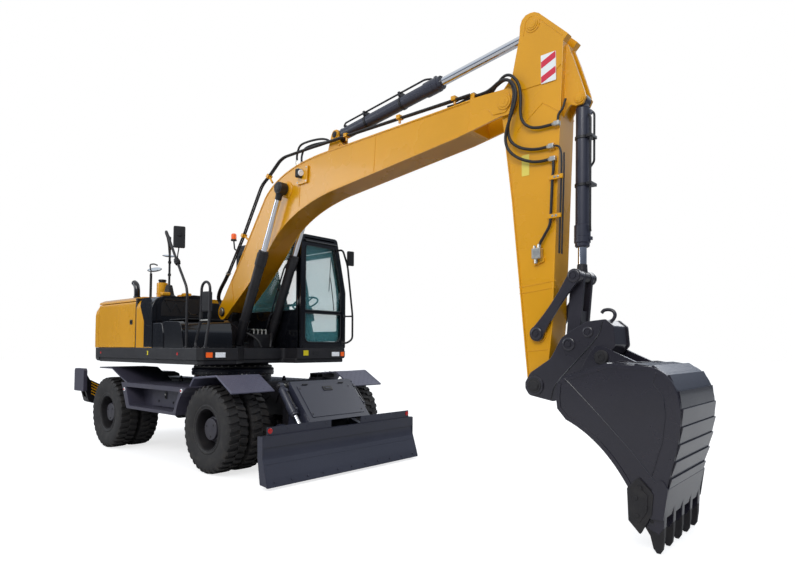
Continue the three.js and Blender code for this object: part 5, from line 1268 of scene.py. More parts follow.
# steering column, wheel and pedals
y = 790
p.rod((900, y, 1556), (720, y, 2150), 34, PLASTIC, 24)
p.slant((775, y, 2010), (110, 130, 220), turned(-0.3), PLASTIC, 20)
axis = Vector((-0.42, 0, 0.91)).normalized()
side_v = Vector((0, 1, 0))
up_v = axis.cross(side_v)
hub = Vector((704, y, 2190))
ring = [tuple(hub + side_v * u + up_v * v) for u, v in round_about(40, 195)]
p.tube(ring + ring[:1], 14, PLASTIC, 12)
for a in (0.5, 2.64, 4.71):
    p.tube([tuple(hub), tuple(hub + 190 * (side_v * cos(a) + up_v * sin(a)))], 11, PLASTIC, 10)
p.lathe([(0, -10), (46, -8), (52, 10), (40, 20), (0, 22)], hub, axis, PLASTIC, 32)
p.slant((860, 600, 1620), (150, 80, 12), turned(-0.5), PLASTIC, 4)
p.slant((860, 970, 1620), (150, 80, 12), turned(-0.5), PLASTIC, 4)
p.slant((560, 470, 2160), (60, 150, 190), turned(-0.35), PLASTIC, 14)
# left-hand guard rail with its cross bar and mirror
rail = bent([(1135, 1035, 2989), (1240, 1062, 2992), (1262, 1144, 2757), (1262, 1255, 2006),
    (1258, 1259, 1640), (1180, 1215, 1581), (1135, 1160, 1581)], 60)
p.tube(rail, 15, BLACK, 14)
p.tube(bent([(1135, 1200, 1992), (1200, 1250, 1992), (1262, 1255, 1992)], 30), 12, BLACK, 12)
for q in ((1136, 1035, 2989), (1136, 1160, 1581), (1136, 1196, 1992)):
    p.rod(q, (q[0] + 14, q[1], q[2]), 28, PLASTIC, 20)
p.slant((1294, 1176, 2868), (30, 110, 226), turned(radians(-16), "Z"), PLASTIC, 14)
p.slant((1278, 1170, 2868), (8, 92, 204), turned(radians(-16), "Z"), MIRROR, 4)
p.rod((1262, 1130, 2850), (1290, 1160, 2862), 14, PLASTIC, 16)
# beacon on its bracket at the roof's rear corner
p.tube(bent([(-500, 360, 3080), (-532, 330, 3100), (-532, 312, 3240)], 20), 12, BLACK, 12)
p.lathe([(0, 0), (46, 0), (48, 8), (44, 24), (0, 24)], (-532, 312, 3236), (0, 0, 1), PLASTIC, 32)
p.lathe([(0, 24), (42, 24), (42, 96), (36, 112), (20, 120), (0, 121)], (-532, 312, 3236), (0, 0, 1), AMBER,
    32)
# step up to the cab
p.box(540, 880, 1226, 1240, 1330, 1420, BLACK, 4)
p.finish()

p = over("cab_door", "cab_door", "dark_paint")
for x0, x1, z0, z1 in ((206, 282, 1606, 2984), (978, 1054, 1606, 2984), (270, 990, 1606, 1762),
        (270, 990, 2908, 2984)):
    left_panel(p, x0, x1, z0, z1, 0, 40)
p.box(985, 1030, 1214, 1236, 1980, 2040, PLASTIC, 8)
p.tube(bent([(300, 1196, 1700), (300, 1168, 1720), (300, 1168, 2100), (300, 1190, 2120)], 20), 12, PLASTIC,
    12)
for z in (1700, 2260, 2800):
    p.rod((206, left_at(z), z), (206, left_at(z + 70), z + 70), 8, BLACK, 20)
p.finish()


def pane(name, body, corners, across, thickness, r, replaces):
    p = Part(name, body, "cab_glass", replaces)
    p.prism(fillet(corners, r), across[1], across[1] + thickness, GLASS, across[0], 1, 1)
    return p.finish()


pane("front_glass", "upper", [(411, 1575), (1135, 1575), (1135, WAIST), (left_at(3000) - 80, 3015),
    (411, 3015)], ("x", CAB_FRONT - 58.3), 8, [90, 120, 60, 50, 40], "windshield")
pane("right_glass", "upper", [(-450, 2035), (1055, 2035), (1055, 3005), (-450, 3005)], ("y", 396.3), 8, 60,
    "cab_right_glass")
pane("rear_pane", "upper", [(411, 2135), (1015, 2135), (975, 2995), (411, 2995)], ("x", CAB_REAR + 50.3), 8,
    60, "rear_glass")
p = Part("door_pane", "cab_door", "cab_glass", "door_glass")
left_panel(p, 281, 979, 1761, 2909, -18, 8, GLASS, 1)
p.finish()

# ---------------------------------------------------------------- seat

SEAT_Y, SEAT_Z = (CAB_RIGHT + CAB_LEFT) / 2, 1550.6


def cushion(name, size, at, lean, crown, seams):
    """A stuffed pad: each panel between its seams is puffed, and piping runs round the edge."""
    p = Part(name, "upper", "seat_fabric")
    nx, ny = 26, 30
    w, d, h = size
    turn = Matrix.Translation(at) @ lean.to_4x4()
    bm = bmesh.new()
    grid = {}
    for level in (0, 1):
        for i in range(nx + 1):
            for j in range(ny + 1):
                u, v = i / nx, j / ny
                edge = min(u, 1 - u, v, 1 - v)
                puff = (1 - (2 * u - 1) ** 4) * (1 - (2 * v - 1) ** 4)
                dip = sum(math.exp(-((v - s) / 0.018) ** 2) for s in seams)
                ridge = crown * (abs(sin(pi * v * (len(seams) + 1))) ** 0.5)
                x, y = (u - 0.5) * w, (v - 0.5) * d
                pinch = 1 - 0.03 * max(0, 1 - edge * 12)
                if level:
                    z = h / 2 + puff * ridge - dip * crown * 0.5 - 14 * max(0, 1 - edge * 10) ** 2
                else:
                    z = -h / 2 + 12 * max(0, 1 - edge * 10) ** 2
                grid[level, i, j] = bm.verts.new(turn @ Vector((x * pinch, y * pinch, z)))
    for level in (0, 1):
        for i in range(nx):
            for j in range(ny):
                q = [grid[level, i, j], grid[level, i + 1, j], grid[level, i + 1, j + 1],
                    grid[level, i, j + 1]]
                bm.faces.new(q if level else q[::-1])
    border = [(i, 0) for i in range(nx)] + [(nx, j) for j in range(ny)]
    border += [(i, ny) for i in range(nx, 0, -1)] + [(0, j) for j in range(ny, 0, -1)]
    for (i, j), (k, l) in zip(border, border[1:] + border[:1]):
        bm.faces.new((grid[0, i, j], grid[0, k, l], grid[1, k, l], grid[1, i, j]))
    p.take(bm, FABRIC)
    rim = [turn @ Vector(((i / nx - 0.5) * w * 0.985, (j / ny - 0.5) * d * 0.985, h / 2 - 10)) for i,
        j in border + border[:1]]
    p.tube(rim, 5, PLASTIC, 8)
    piece = p.finish(60)
    return piece


p = Part("seat_frame", "upper", "dark_paint", "operator_seat")
p.box(-150, 250, SEAT_Y - 170, SEAT_Y + 170, SEAT_Z, SEAT_Z + 90, PLASTIC, 14)
for k in range(5):
    inset = 12 * (k % 2)
    p.box(-130 + inset, 230 - inset, SEAT_Y - 150 + inset, SEAT_Y + 150 - inset, SEAT_Z + 90 + 44 * k,
        SEAT_Z + 130 + 44 * k, HOSE, 12)
p.box(-180, 300, SEAT_Y - 225, SEAT_Y + 225, SEAT_Z + 306, SEAT_Z + 334, PLASTIC, 10)
p.prism(fillet([(-262, 1960), (-228, 1960), (-300, 2610), (-334, 2610)], 10), SEAT_Y - 220, SEAT_Y + 220,
    PLASTIC, bevel=10)
for y in (-60, 60):
    p.rod((-296, SEAT_Y + y, 2600), (-300, SEAT_Y + y, 2680), 9, SILVER, 16)
for side in (-1, 1):
    y = SEAT_Y + side * 292
    rounded_box(p, -110, 380, y - 46, y + 46, SEAT_Z + 470, SEAT_Z + 580, 24, PLASTIC)
    p.box(-80, 260, y - 40, y + 40, SEAT_Z + 400, SEAT_Z + 480, PLASTIC, 14)
    p.rod((330, y, SEAT_Z + 575), (346, y, SEAT_Z + 660), 10, SILVER, 16)
    p.lathe([(0, 0), (22, 4), (28, 40), (24, 92), (18, 120), (0, 124)], (344, y, SEAT_Z + 650),
        (0.18, 0, 1), PLASTIC, 24)
    rounded_box(p, -100, 150, y - 40, y + 40, SEAT_Z + 640, SEAT_Z + 676, 15, PLASTIC)
    p.rod((-70, y, SEAT_Z + 570), (-70, y, SEAT_Z + 645), 16, PLASTIC, 16)
p.tube([(-222, SEAT_Y + 180, 2560), (-150, SEAT_Y + 60, 2240), (-60, SEAT_Y - 200, 2030)], 9.1, HOSE, 6)
p.finish()
flat = turned(-0.06)
cushion("seat_cushion", (500, 480, 110), (60, SEAT_Y, 1950), flat, 34, (0.22, 0.78))
cushion("seat_back", (640, 470, 96), (-214, SEAT_Y, 2300), turned(radians(-97)) @ Matrix.Scale(1, 3), 34,
    (0.22, 0.78))
cushion("seat_headrest", (170, 270, 80), (-270, SEAT_Y, 2740), turned(radians(-97)), 20, ())

# ---------------------------------------------------------------- boom

boom_low = [(115, 2029), (568, 2378)] + bow((568, 2378), (900, 2660), (1098, 2886))
boom_low += bow((1098, 2886), (1480, 3330), (2333, 3449), 16) + [(4224, 3664), (4420, 3697)]
boom_top = [(4420, 4019), (2221, 3970)] + bow((2221, 3970), (1300, 3950), (960, 3590), 16)
boom_top += [(551, 3022)] + bow((551, 3022), (380, 2780), (14, 2301))
p = over("boom", "boom", "ochre_paint")
p.prism(boom_low + boom_top + arc(*BOOM_FOOT, 177, 88, 0, 8), -160, 160, OCHRE, bevel=3)
for path in (boom_low, boom_top):
    p.prism(band(path, 14), -170, 170, OCHRE, bevel=2.5)
    for side in (-1, 1):
        p.weld([(x, side * 161, z) for x, z in offset_path(path, 17)], OCHRE, 4)
# foot cheeks and the fork at the head
foot = arc(*BOOM_FOOT, 115, 143, 309, 16) + [(118, 2031), (240, 2130), (170, 2480), (14, 2301)]
head = [(4392, 3692), (4760, 3756)] + arc(*BOOM_HEAD, 130, 252, 452, 20) + [(4500, 4021), (4392, 4019)]
head_plate = fillet([(4607, 3872), (4650, 3968), (4744, 4003), (4850, 3961), (4876, 3860), (4815, 3778),
    (4664, 3787)], 26)
for side in (-1, 1):
    p.prism(foot, side * 113, side * 168, OCHRE, bevel=4, holes=[arc(*BOOM_FOOT, 52, 0, 350, 28)])
    p.prism(head, side * 147, side * 169, OCHRE, bevel=3, holes=[arc(*BOOM_HEAD, 57, 0, 350, 28)])
    p.prism(head_plate, side * 168, side * 178, OCHRE, bevel=3)
    # weld seams between the side plates
    for x, z0, z1 in ((3050, 3555, 3975), (1700, 3360, 3880)):
        p.weld([(x, side * 161, z0), (x + 30, side * 161, z1)], OCHRE, 4)
    # bosses for the lift cylinders
    p.lathe([(0, 150), (112, 150), (112, 168), (100, 176), (86, 178), (84, 194), (0, 194)],
        (CYL_EYE[0], 0, CYL_EYE[1]), (0, side, 0), OCHRE, 44)
    # lugs for the arm cylinder
    lug = fillet([(2150, 3955), (2230, 4200), (2262, 4252), (2340, 4252), (2360, 4200), (2362, 4110),
        (2520, 3965)], [0, 60, 40, 40, 40, 60, 0])
    p.prism(lug, side * 58, side * 84, OCHRE, bevel=4)
    p.pin(ARM_CYL_FOOT, 54, side * 84, side * 92, OCHRE)
    p.capped_pin(ARM_CYL_FOOT, 40, side * 90, side, BLACK)
    p.weld([(2160, side * 90, 3972), (2500, side * 90, 3976)], OCHRE, 6)
p.pin(ARM_CYL_FOOT, 38, -90, 90, SILVER)
# a lifting ring under the lugs and the work light on its plate
p.tube([(2440 + 30 * cos(a), -120, 4010 + 30 * sin(a)) for a in [pi * k / 8 for k in range(9)]], 8, OCHRE,
    10)
p.prism(fillet([(1674, 3640), (1880, 3640), (1900, 3860), (1700, 3880)], 16), -186, -168, OCHRE, bevel=4)
rounded_box(p, 1730, 1800, -262, -184, 3715, 3825, 14, PLASTIC)
p.lathe([(0, 0), (40, 0), (42, 8), (38, 16), (0, 18)], (1801, -224, 3770), (1, 0, -0.3), WHITE, 28)
for x, z in ((1692, 3665), (1700, 3850), (1860, 3665), (1872, 3840)):
    p.bolt((x, -186, z), (0, -1, 0), 8)
# two steel pipes along the crest, held by clamps on short posts
run = [(-40, 2545), (40, 2636), (409, 3138), (837, 3805), (999, 3897), (1243, 4071), (1345, 4100),
    (1813, 4104), (4433, 4101)]
for y in (-142, -112):
    p.tube(bent([(x, y, z) for x, z in run[:-1]] + [(4380, y, 4086)], 90), 12, BLACK, 14)
for x, z, slope, foot_z in ((409, 3138, 57, 2790), (999, 3897, 38, 3655), (2560, 4104, 0, 3978),
        (3420, 4103, 0, 3985), (4180, 4101, 0, 3995)):
    turn = turned(-radians(slope))
    p.slant((x, -127, z), (54, 78, 46), turn, OCHRE, 7)
    p.bolt(tuple(Vector((x, -127, z)) + turn @ Vector((0, 0, 23))), tuple(turn @ Vector((0, 0, 1))), 9)
    below = Vector((x, -127, z)) - turn @ Vector((0, 0, (z - foot_z) * 0.55))
    p.rod((x, -127, z), tuple(below), 15, OCHRE, 16)
# hoses from the pipes' ends down to the deck, and one on the far side
for y, low, r in ((-142, -96, 16), (-112, -60, 16), (96, 70, 15)):
    p.tube(curve([(30, y, 2625), (-60, y, 2520), (-190, y, 2380), (-258, y * 0.9, 2270), (-268, low, 2200),
        (-215, low, 2130)], 8), r, HOSE, 12)
    p.lathe([(r, 0), (r + 7, 2), (r + 7, 34), (r, 36)], (8, y, 2600), (0.65, 0, 0.76), SILVER, 20)
# the loop that feeds the arm cylinder's foot
for y, top in ((-40, 4246), (40, 4225)):
    p.tube(curve([(1500, y, 4014), (1500, y, 4120), (1560, y, top - 20), (1720, y, top),
        (1960, y, top - 20), (2110, y, 4180), (2180, y, 4120)], 8), 14, HOSE, 12)
    p.rod((1500, y, 3975), (1500, y, 4040), 19, SILVER, 6)
# the clamp where the elbow hoses begin
p.box(4372, 4419.6, -128, 30, 4010, 4100, OCHRE, 5)
p.box(4376, 4416, -120, 24, 4098, 4108, BLACK, 3)
for y in (-98, -52, -6):
    p.rod((4360, y, 4075), (4419.4, y, 4075), 19, SILVER, 6)
    p.tube(curve([(4365, y, 4075), (4300, y, 4070), (4200, y * 1.1, 4050), (4080, y * 1.2, 4047)], 6), 12,
        BLACK, 12)
p.finish()

# ---------------------------------------------------------------- lift cylinders

p = over("boom_barrels", "boom_barrels", "dark_paint")
for side, where in SIDES:
    p.turn = aim(CYL_FOOT, CYL_EYE, side * CYL_Y)
    barrel(p, 1460, 66, 80, 60, BLACK, 12)
    inward = -side
    p.tube(bent([(150, inward * 30, 70), (190, inward * 40, 96), (1230, inward * 40, 96),
        (1300, inward * 20, 92), (1330, 0, 76)], 30), 11, BLACK, 12)
    p.tube(bent([(110, inward * 60, 30), (140, inward * 92, 40), (520, inward * 92, 40),
        (560, inward * 76, 20)], 30), 11, BLACK, 12)
    for t in (420, 900):
        clamp_ring(p, t, 67, 6, 28)
        p.box(t, t + 28, inward * 22, inward * 58, 60, 112, BLACK, 4)
        p.bolt((t + 14, inward * 58, 86), (0, inward, 0), 7)
p.turn = Matrix.Identity(4)
p.pin(CYL_FOOT, 40, -CYL_Y, CYL_Y, SILVER)
for side in (-1, 1):
    p.pin(CYL_FOOT, 56, side * 322, side * 332, BLACK)
    p.pin(CYL_FOOT, 40, side * 330, side * 338, CAST)
p.finish()

for side, where in SIDES:
    p = over(f"boom_rod_{where}", "boom_rods", "rod_chrome")
    p.turn = aim(CYL_FOOT, CYL_EYE, side * CYL_Y)
    length = span(CYL_FOOT, CYL_EYE)
    rod_and_eye(p, 940, length, 38, 80, 60, BLACK)
    p.lathe([(0, 0), (62, 0), (62, 8), (54, 14), (0, 14)], (length, side * 60, 0), (0, side, 0), BLACK, 36)
    p.lathe([(0, 13), (46, 13), (44, 19), (0, 20)], (length, side * 60, 0), (0, side, 0), CAST, 32)
    p.finish()

# ---------------------------------------------------------------- arm cylinder

length = span(ARM_CYL_FOOT, ARM_HEEL)
p = over("arm_barrel", "arm_barrel", "dark_paint")
p.turn = aim(ARM_CYL_FOOT, ARM_HEEL)
barrel(p, 1640, 72, 66, 52, BLUE, 12)
p.tube(bent([(120, -30, 78), (160, -42, 104), (1440, -42, 104), (1500, -10, 96), (1520, 0, 80)], 30), 11,
    BLACK, 12)
p.tube(bent([(100, 30, 72), (130, 46, 96), (700, 46, 96), (740, 40, 70)], 30), 11, BLACK, 12)
for t in (480, 1050):
    clamp_ring(p, t, 73, 6, 30)
    p.box(t, t + 30, -64, 64, 66, 120, BLACK, 4)
p.finish()
p = over("arm_rod", "arm_rod", "rod_chrome")
p.turn = aim(ARM_CYL_FOOT, ARM_HEEL)
rod_and_eye(p, 1080, length, 45, 66, 52, BLACK)
p.finish()

# ---------------------------------------------------------------- arm

p = over("arm", "arm", "ochre_paint")
arm_front = [(5197, 1190), (5262, 1700), (5392, 4300)]
arm_back = [(4780, 3514), (4853, 2918), (5013, 1190)]
elbow = arc(*BOOM_HEAD, 115, 132, 241, 14)
lower = arc(*ARM_FOOT, 92, 180, 360, 20)
lower += [(5262, 1700), (5392, 4290), (4940, 4290), (4867, 4136), (4700, 3960)]
lower += elbow + [(4780, 3514), (4853, 2918)]
p.prism(lower, -132, 132, OCHRE, bevel=4)
p.prism(band(arm_front, 14), -140, 140, OCHRE, bevel=2.5)
p.prism(band(list(reversed(arm_back)), -14), -140, 140, OCHRE, bevel=2.5)
heel = [(5384, 4100), (5392, 4300), (5440, 4345), (5150, 4645), (5105, 4671), (5060, 4678), (5010, 4671),
    (4972, 4640), (4952, 4585), (4945, 4480), (4867, 4136), (4900, 3960), (5200, 3960)]
for side in (-1, 1):
    p.prism(fillet(heel, [0, 0, 8, 20, 10, 10, 10, 10, 10, 30, 30, 0, 0]), side * 60, side * 139, OCHRE,
        bevel=4)
    y = side * 132.5
    # seams: round the heel, across the plates and round the foot boss
    for path in ([(4700, 3950), (4880, 4110), (4985, 4560)], [(5366, 3640), (5180, 3780), (4900, 3570)],
            [(5296, 2120), (4925, 2080)], [(5292, 2060), (4930, 2020)], [(5225, 1500), (4990, 1480)]):
        p.weld([(x, y, z) for x, z in path], OCHRE, 4)
    p.weld([(x, side * 139, z) for x, z in ((4990, 4480), (5010, 4600), (5060, 4640), (5120, 4625),
        (5385, 4345))], OCHRE, 4)
    p.pin(ARM_FOOT, 100, side * 128, side * 144, OCHRE)
    p.capped_pin(ARM_FOOT, 66, side * 186, side, CAST)
    p.pin(ARM_HEEL, 76, side * 136, side * 146, OCHRE)
    p.capped_pin(ARM_HEEL, 56, side * 144, side, OCHRE)
    p.capped_pin(BOOM_HEAD, 76, side * 178, side, OCHRE)
    lug = fillet([(5336, 3575), (5425, 3716), (5480, 3689), (5544, 3695), (5574, 3749), (5560, 3805),
        (5467, 4110), (5400, 4300), (5360, 4155)], [0, 30, 20, 20, 20, 20, 60, 10, 0])
    p.prism(lug, side * 56, side * 82, OCHRE, bevel=4)
    p.capped_pin(BUCKET_CYL_FOOT, 46, side * 82, side, OCHRE)
    p.weld([(5345, side * 84, 3610), (5368, side * 84, 4120)], OCHRE, 6)
# striped plate and a bare plate under it
p.prism(fillet([(5170, 3955), (5320, 3955), (5320, 4225), (5170, 4225)], 8), -142.5, -138, STRIPE_WHITE,
    bevel=1)
for z in (3960, 4100):
    p.prism([(5173, z), (5317, z + 62), (5317, z + 124), (5173, z + 62)], -144, -142, STRIPE_RED, bevel=0)
p.prism(fillet([(4960, 3130), (5040, 3130), (5040, 3330), (4960, 3330)], 6), -135, -131, PALE, bevel=1)
p.pin(ARM_HEEL, 38, -139, 139, SILVER)
p.pin(BUCKET_CYL_FOOT, 38, -88, 88, SILVER)
p.pin(BOOM_HEAD, 55, -188, 188, SILVER)
p.pin(ARM_FOOT, 40, -206, 206, CAST)
p.pin(GUIDE, 78, -143, 143, OCHRE)
# fittings that take the elbow hoses
PIPE_Y = -164
for x, z in ((5250, 3224), (5235, 3344), (5290, 3540)):
    rounded_box(p, x + 16, x + 70, -182, -136, z - 22, z + 22, 6, SILVER, 3)
    p.rod((x + 0.1, PIPE_Y, z), (x + 30, PIPE_Y, z), 19, SILVER, 6)
    p.box(x + 22, x + 64, -150, -131, z - 34, z + 34, OCHRE, 4)
# steel pipes from the fittings to the change-over valve and to the bucket cylinder
thick = [(x, PIPE_Y, z) for x, z in ((5298, 3215), (5298, 3120), (5287, 3051), (5263, 2625))]
thick += [(5160, -165, 2470), (5152, -165, 2430)]
thin = [(5290, PIPE_Y, 3340), (5350, -160, 3334), (5374, -158, 3270), (5374, -158, 3143),
    (5352, -158, 2600), (5344, -158, 2360)]
loop = [(5345, PIPE_Y, 3548), (5345, -160, 3620), (5390, -150, 3670), (5400, -120, 3760)]
p.tube(bent(thick, 50), 13, BLACK, 14)
p.tube(bent(thin, 40), 9, BLACK, 12)
p.tube(bent([(x + 22, y + 4, z - 10) for x, y, z in thin[2:]], 30), 8, BLACK, 12)
p.tube(bent(loop, 30), 11, HOSE, 12)
for x, z in ((5296, 3051), (5275, 2700)):
    p.box(x - 40, x + 96, -178, -138, z - 20, z + 20, OCHRE, 5)
    for k in (16, 50):
        p.bolt((x + k, -178, z), (0, -1, 0), 8)
# change-over valve at the end of the pipes
rounded_box(p, 5090, 5180, -204, -138, 2325, 2425, 10, SILVER, 3)
p.rod((5152, -165, 2420), (5152, -165, 2462), 18, SILVER, 6)
p.rod((5110, -170, 2420), (5110, -170, 2450), 15, SILVER, 6)
p.rod((5120, -170, 2330), (5120, -170, 2285), 16, SILVER, 6)
p.prism(fillet([(5080, 2270), (5190, 2300), (5190, 2340), (5090, 2340)], 10), -150, -131, OCHRE, bevel=3)
p.finish()

# ---------------------------------------------------------------- bucket cylinder and linkage

length = span(BUCKET_CYL_FOOT, GUIDE_HEAD)
p = over("bucket_barrel", "bucket_barrel", "dark_paint")
p.turn = aim(BUCKET_CYL_FOOT, GUIDE_HEAD)
barrel(p, 1330, 62, 60, 50, BLUE, 12)
for y in (-44, 44):
    p.tube(bent([(150, y * 0.7, 66), (180, y, 90), (1160, y, 90), (1200, y * 0.5, 84)] if y < 0
        else [(90, y * 0.8, 56), (120, y, 88), (560, y, 88), (600, y, 56)], 26), 10, BLACK, 12)
for t in (330, 760):
    clamp_ring(p, t, 63, 7, 28)
    p.box(t, t + 28, -62, 62, 58, 108, BLACK, 4)
p.finish()
p = over("bucket_rod", "bucket_rod", "rod_chrome")
p.turn = aim(BUCKET_CYL_FOOT, GUIDE_HEAD)
rod_and_eye(p, 290, length, 38, 60, 52, BLACK)
p.finish()


def waisted(a, b, ra, rb, waist, n=16):
    """Outline of a link whose sides draw in between its two eyes."""
    a, b = Vector(a), Vector(b)
    d = (b - a).normalized()
    turn = math.degrees(math.atan2(d.y, d.x))
    across = Vector((-d.y, d.x)) * waist
    middle = (a + b) / 2
    end_a, end_b = arc(*a, ra, turn + 60, turn + 300, n), arc(*b, rb, turn - 120, turn + 120, n)
    right = bow(end_a[-1], tuple(middle - across), end_b[0], 8)
    left = bow(end_b[-1], tuple(middle + across), end_a[0], 8)
    return end_a + right[:-1] + end_b + left[:-1]


def washer(part, c, r, y, side, m):
    """A ringed washer with a pin's head inside it."""
    part.lathe([(0, y), (r, y), (r, y + 10), (r - 6, y + 14), (r * 0.66, y + 14), (r * 0.62, y + 9),
        (r * 0.42, y + 9), (r * 0.38, y + 15), (0, y + 15)], (c[0], 0, c[1]), (0, side, 0), m, 36)


p = over("guide_links", "guide_links", "dark_paint")
for side in (-1, 1):
    p.prism(waisted(GUIDE, GUIDE_HEAD, 70, 64, 22), side * 146, side * 176, LINK, bevel=5)
    for c in (GUIDE, GUIDE_HEAD):
        washer(p, c, 56, 174, side, LINK)
    p.pin(GUIDE_HEAD, 40, side * 112, side * 156, SILVER)
p.pin(GUIDE, 38, -156, 156, SILVER)
p.finish()

p = over("power_link", "power_link", "dark_paint")
for side in (-1, 1):
    p.prism(link_outline(GUIDE_HEAD, COUPLER, 62, 58, 16), side * 64, side * 105, LINK, bevel=5)
    p.prism(arc(*GUIDE_HEAD, 62, 0, 350, 35), side * 105, side * 139, LINK, bevel=4,
        holes=[arc(*GUIDE_HEAD, 42, 0, 350, 28)])
    p.pin(COUPLER, 46, side * 104, side * 112, LINK)
d = (Vector(COUPLER) - Vector(GUIDE_HEAD)).normalized()
a, b = Vector(GUIDE_HEAD) + d * 300, Vector(GUIDE_HEAD) + d * 540
across = Vector((-d.y, d.x)) * 46
p.prism([tuple(a - across), tuple(b - across), tuple(b + across), tuple(a + across)], -68, 68, LINK,
    bevel=6)
p.finish()

p = over("quick_coupler", "bucket", "dark_paint")
plate = [(5005, 1142), (5045, 1082), (5292, 1036), (5400, 1130), (5560, 1290), (5740, 1420), (5842, 1530),
    (5828, 1700), (5760, 1757), (5590, 1740), (5432, 1650), (5362, 1600), (5260, 1420), (5060, 1290),
    (5005, 1200)]
plate = fillet(plate, [50, 50, 60, 60, 60, 50, 40, 40, 30, 60, 40, 60, 60, 60, 50])
slit = [(5735, 1735), (5690, 1610), (5510, 1409), (5312, 1194), (5262, 1060)]
for side in (-1, 1):
    p.prism(plate, side * 146, side * 176, LINK, bevel=5, holes=[arc(*ARM_FOOT, 44, 0, 350, 28)])
    p.tube(curve([(x, side * 176, z) for x, z in slit], 6), 5, GLOSS, 8)
    for c, r in ((COUPLER, 58), ((5608, 1650), 46), ((5580, 1270), 30), (BUCKET_EAR, 50)):
        washer(p, c, r, 174, side, LINK)
    p.lathe([(46, 174), (84, 174), (86, 178), (86, 186), (82, 190), (46, 190)],
        (ARM_FOOT[0], 0, ARM_FOOT[1]), (0, side, 0), LINK, 40, closed=True)
    for c in ((5320, 1110), (5450, 1280), (5700, 1500)):
        p.bolt((c[0], side * 176, c[1]), (0, side, 0), 9, LINK, False)
p.pin(COUPLER, 38, -150, 150, SILVER)
for k in (-1, 1):
    p.pin(COUPLER, 54, k * 112, k * 150, LINK)
cross = fillet([(5600, 1345), (5780, 1460), (5828, 1540), (5815, 1700), (5750, 1752), (5600, 1720)], 24)
p.prism(cross, -150, 150, LINK, bevel=6)
hook = curve([(5700, 0, 1735), (5752, 0, 1752), (5776, 0, 1790), (5766, 0, 1828), (5728, 0, 1846),
    (5682, 0, 1842), (5660, 0, 1820)], 6)
p.tube(hook, 15, LINK, 16)
for k in (-1, 1):
    p.rod((5560, k * 90, 1500), (5640, k * 90, 1560), 30, BLACK, 24)
p.finish()

# ---------------------------------------------------------------- bucket


def along(path, s):
    """The point and the direction at distance s along a path."""
    for a, b in zip(path, path[1:]):
        a, b = Vector(a), Vector(b)
        d = (b - a).length
        if s <= d:
            return a + (b - a) * (s / d), (b - a).normalized()
        s -= d
    return Vector(path[-1]), (Vector(path[-1]) - Vector(path[-2])).normalized()


p = over("bucket", "bucket", "grey_paint")
back = [(5507, 1276), (5900, 1408), (6225, 1391)] + bow((6225, 1391), (6408, 1345), (6440, 1110))
back += bow((6440, 1110), (6456, 960), (6398, 720)) + [(6340, 500), (6302, 262)]
wrapper = fillet(back[:3], [0, 120, 0]) + back[3:]
mouth = [(6140, 262), (6044, 469)] + bow((6044, 469), (5850, 800), (5553, 930), 12) + [(5478, 1015),
    (5468, 1110), (5480, 1230)]
inner = offset_path(wrapper, -14)
p.prism(band(inner, -20), -480, 480, BUCKET, bevel=3)
length = sum((Vector(b) - Vector(a)).length for a, b in zip(inner, inner[1:]))
# flat plates across the back, each lapped over the next one down
for k in range(10):
    s0, s1 = length * (0.245 + 0.0665 * k), length * (0.245 + 0.0665 * (k + 1)) - 4
    rows = []
    for s, proud in ((s0, 12.5), (s0 + 5, 13.5), (s1, 2)):
        q, d = along(inner, s)
        rows.append((q, q + Vector((-d.y, d.x)) * proud))
    p.prism([tuple(q) for q, _ in rows] + [tuple(q) for _, q in reversed(rows)], -478, 478, BUCKET, bevel=1)
p.prism(fillet([(6292, 262), (6336, 490), (6300, 520), (6200, 262)], 4), -490, 490, BUCKET, bevel=3)
outline = [tuple(q) for q in inner] + mouth
for side in (-1, 1):
    p.prism(outline, side * 476, side * 498, BUCKET, bevel=4)
    # the welded edge strip, the lip's corner and the line of the pressed panel
    p.prism(band(offset_path(inner, -4), -30), side * 496, side * 503, BUCKET, bevel=3)
    p.prism(band(mouth, -34), side * 496, side * 505, BUCKET, bevel=3)
    for seam in ([(5548, 1262), (5797, 1018), (6065, 745), (6285, 480)],
            [(6262, 1335), (6237, 1256), (6310, 1157), (6321, 1020), (6296, 822), (6219, 573)]):
        p.weld([(x, side * 499, z) for x, z in seam], BUCKET, 5)
    corner = fillet([(6150, 262), (6300, 262), (6336, 490), (6300, 560), (6240, 520)], [6, 6, 20, 30, 30])
    p.prism(corner, side * 500, side * 512, BUCKET, bevel=4)
    # side cutter: a hexagonal plate with a pocket plate and its bolts
    cutter = fillet([(6128, 552), (6236, 445), (6222, 293), (6138, 136), (6052, 225), (6044, 462)],
        [16, 20, 20, 8, 16, 16])
    p.prism(cutter, side * 497, side * 520, CAST, bevel=5)
    pocket = fillet([(6122, 500), (6198, 430), (6190, 312), (6132, 214), (6086, 262), (6082, 440)], 14)
    p.prism(pocket, side * 518, side * 526, CAST, bevel=3)
    for x, z in ((6143, 476), (6112, 400), (6180, 340), (6120, 272)):
        p.pin((x, z), 15, side * 525, side * 532, CAST)
    # ears
    ear = fillet([(5500, 1232), (5560, 1240), (5900, 1370), (6120, 1376), (6016, 1404), (5848, 1481),
        (5748, 1536), (5690, 1530), (5635, 1471), (5544, 1308)], [10, 0, 0, 0, 30, 40, 40, 40, 60, 20])
    p.prism(ear, side * 176.5, side * 211, BUCKET, bevel=5)
    p.lathe([(0, 205), (60, 205), (60, 220), (54, 226), (0, 226)], (BUCKET_EAR[0], 0, BUCKET_EAR[1]),
        (0, side, 0), CAST, 36)
    p.lathe([(18, 224), (34, 224), (32, 231), (20, 231)], (BUCKET_EAR[0], 0, BUCKET_EAR[1]), (0, side, 0),
        CAST, 28, closed=True)
    p.weld([(5560, side * 216, 1290), (5900, side * 216, 1406), (6090, side * 216, 1392)], BUCKET, 7)
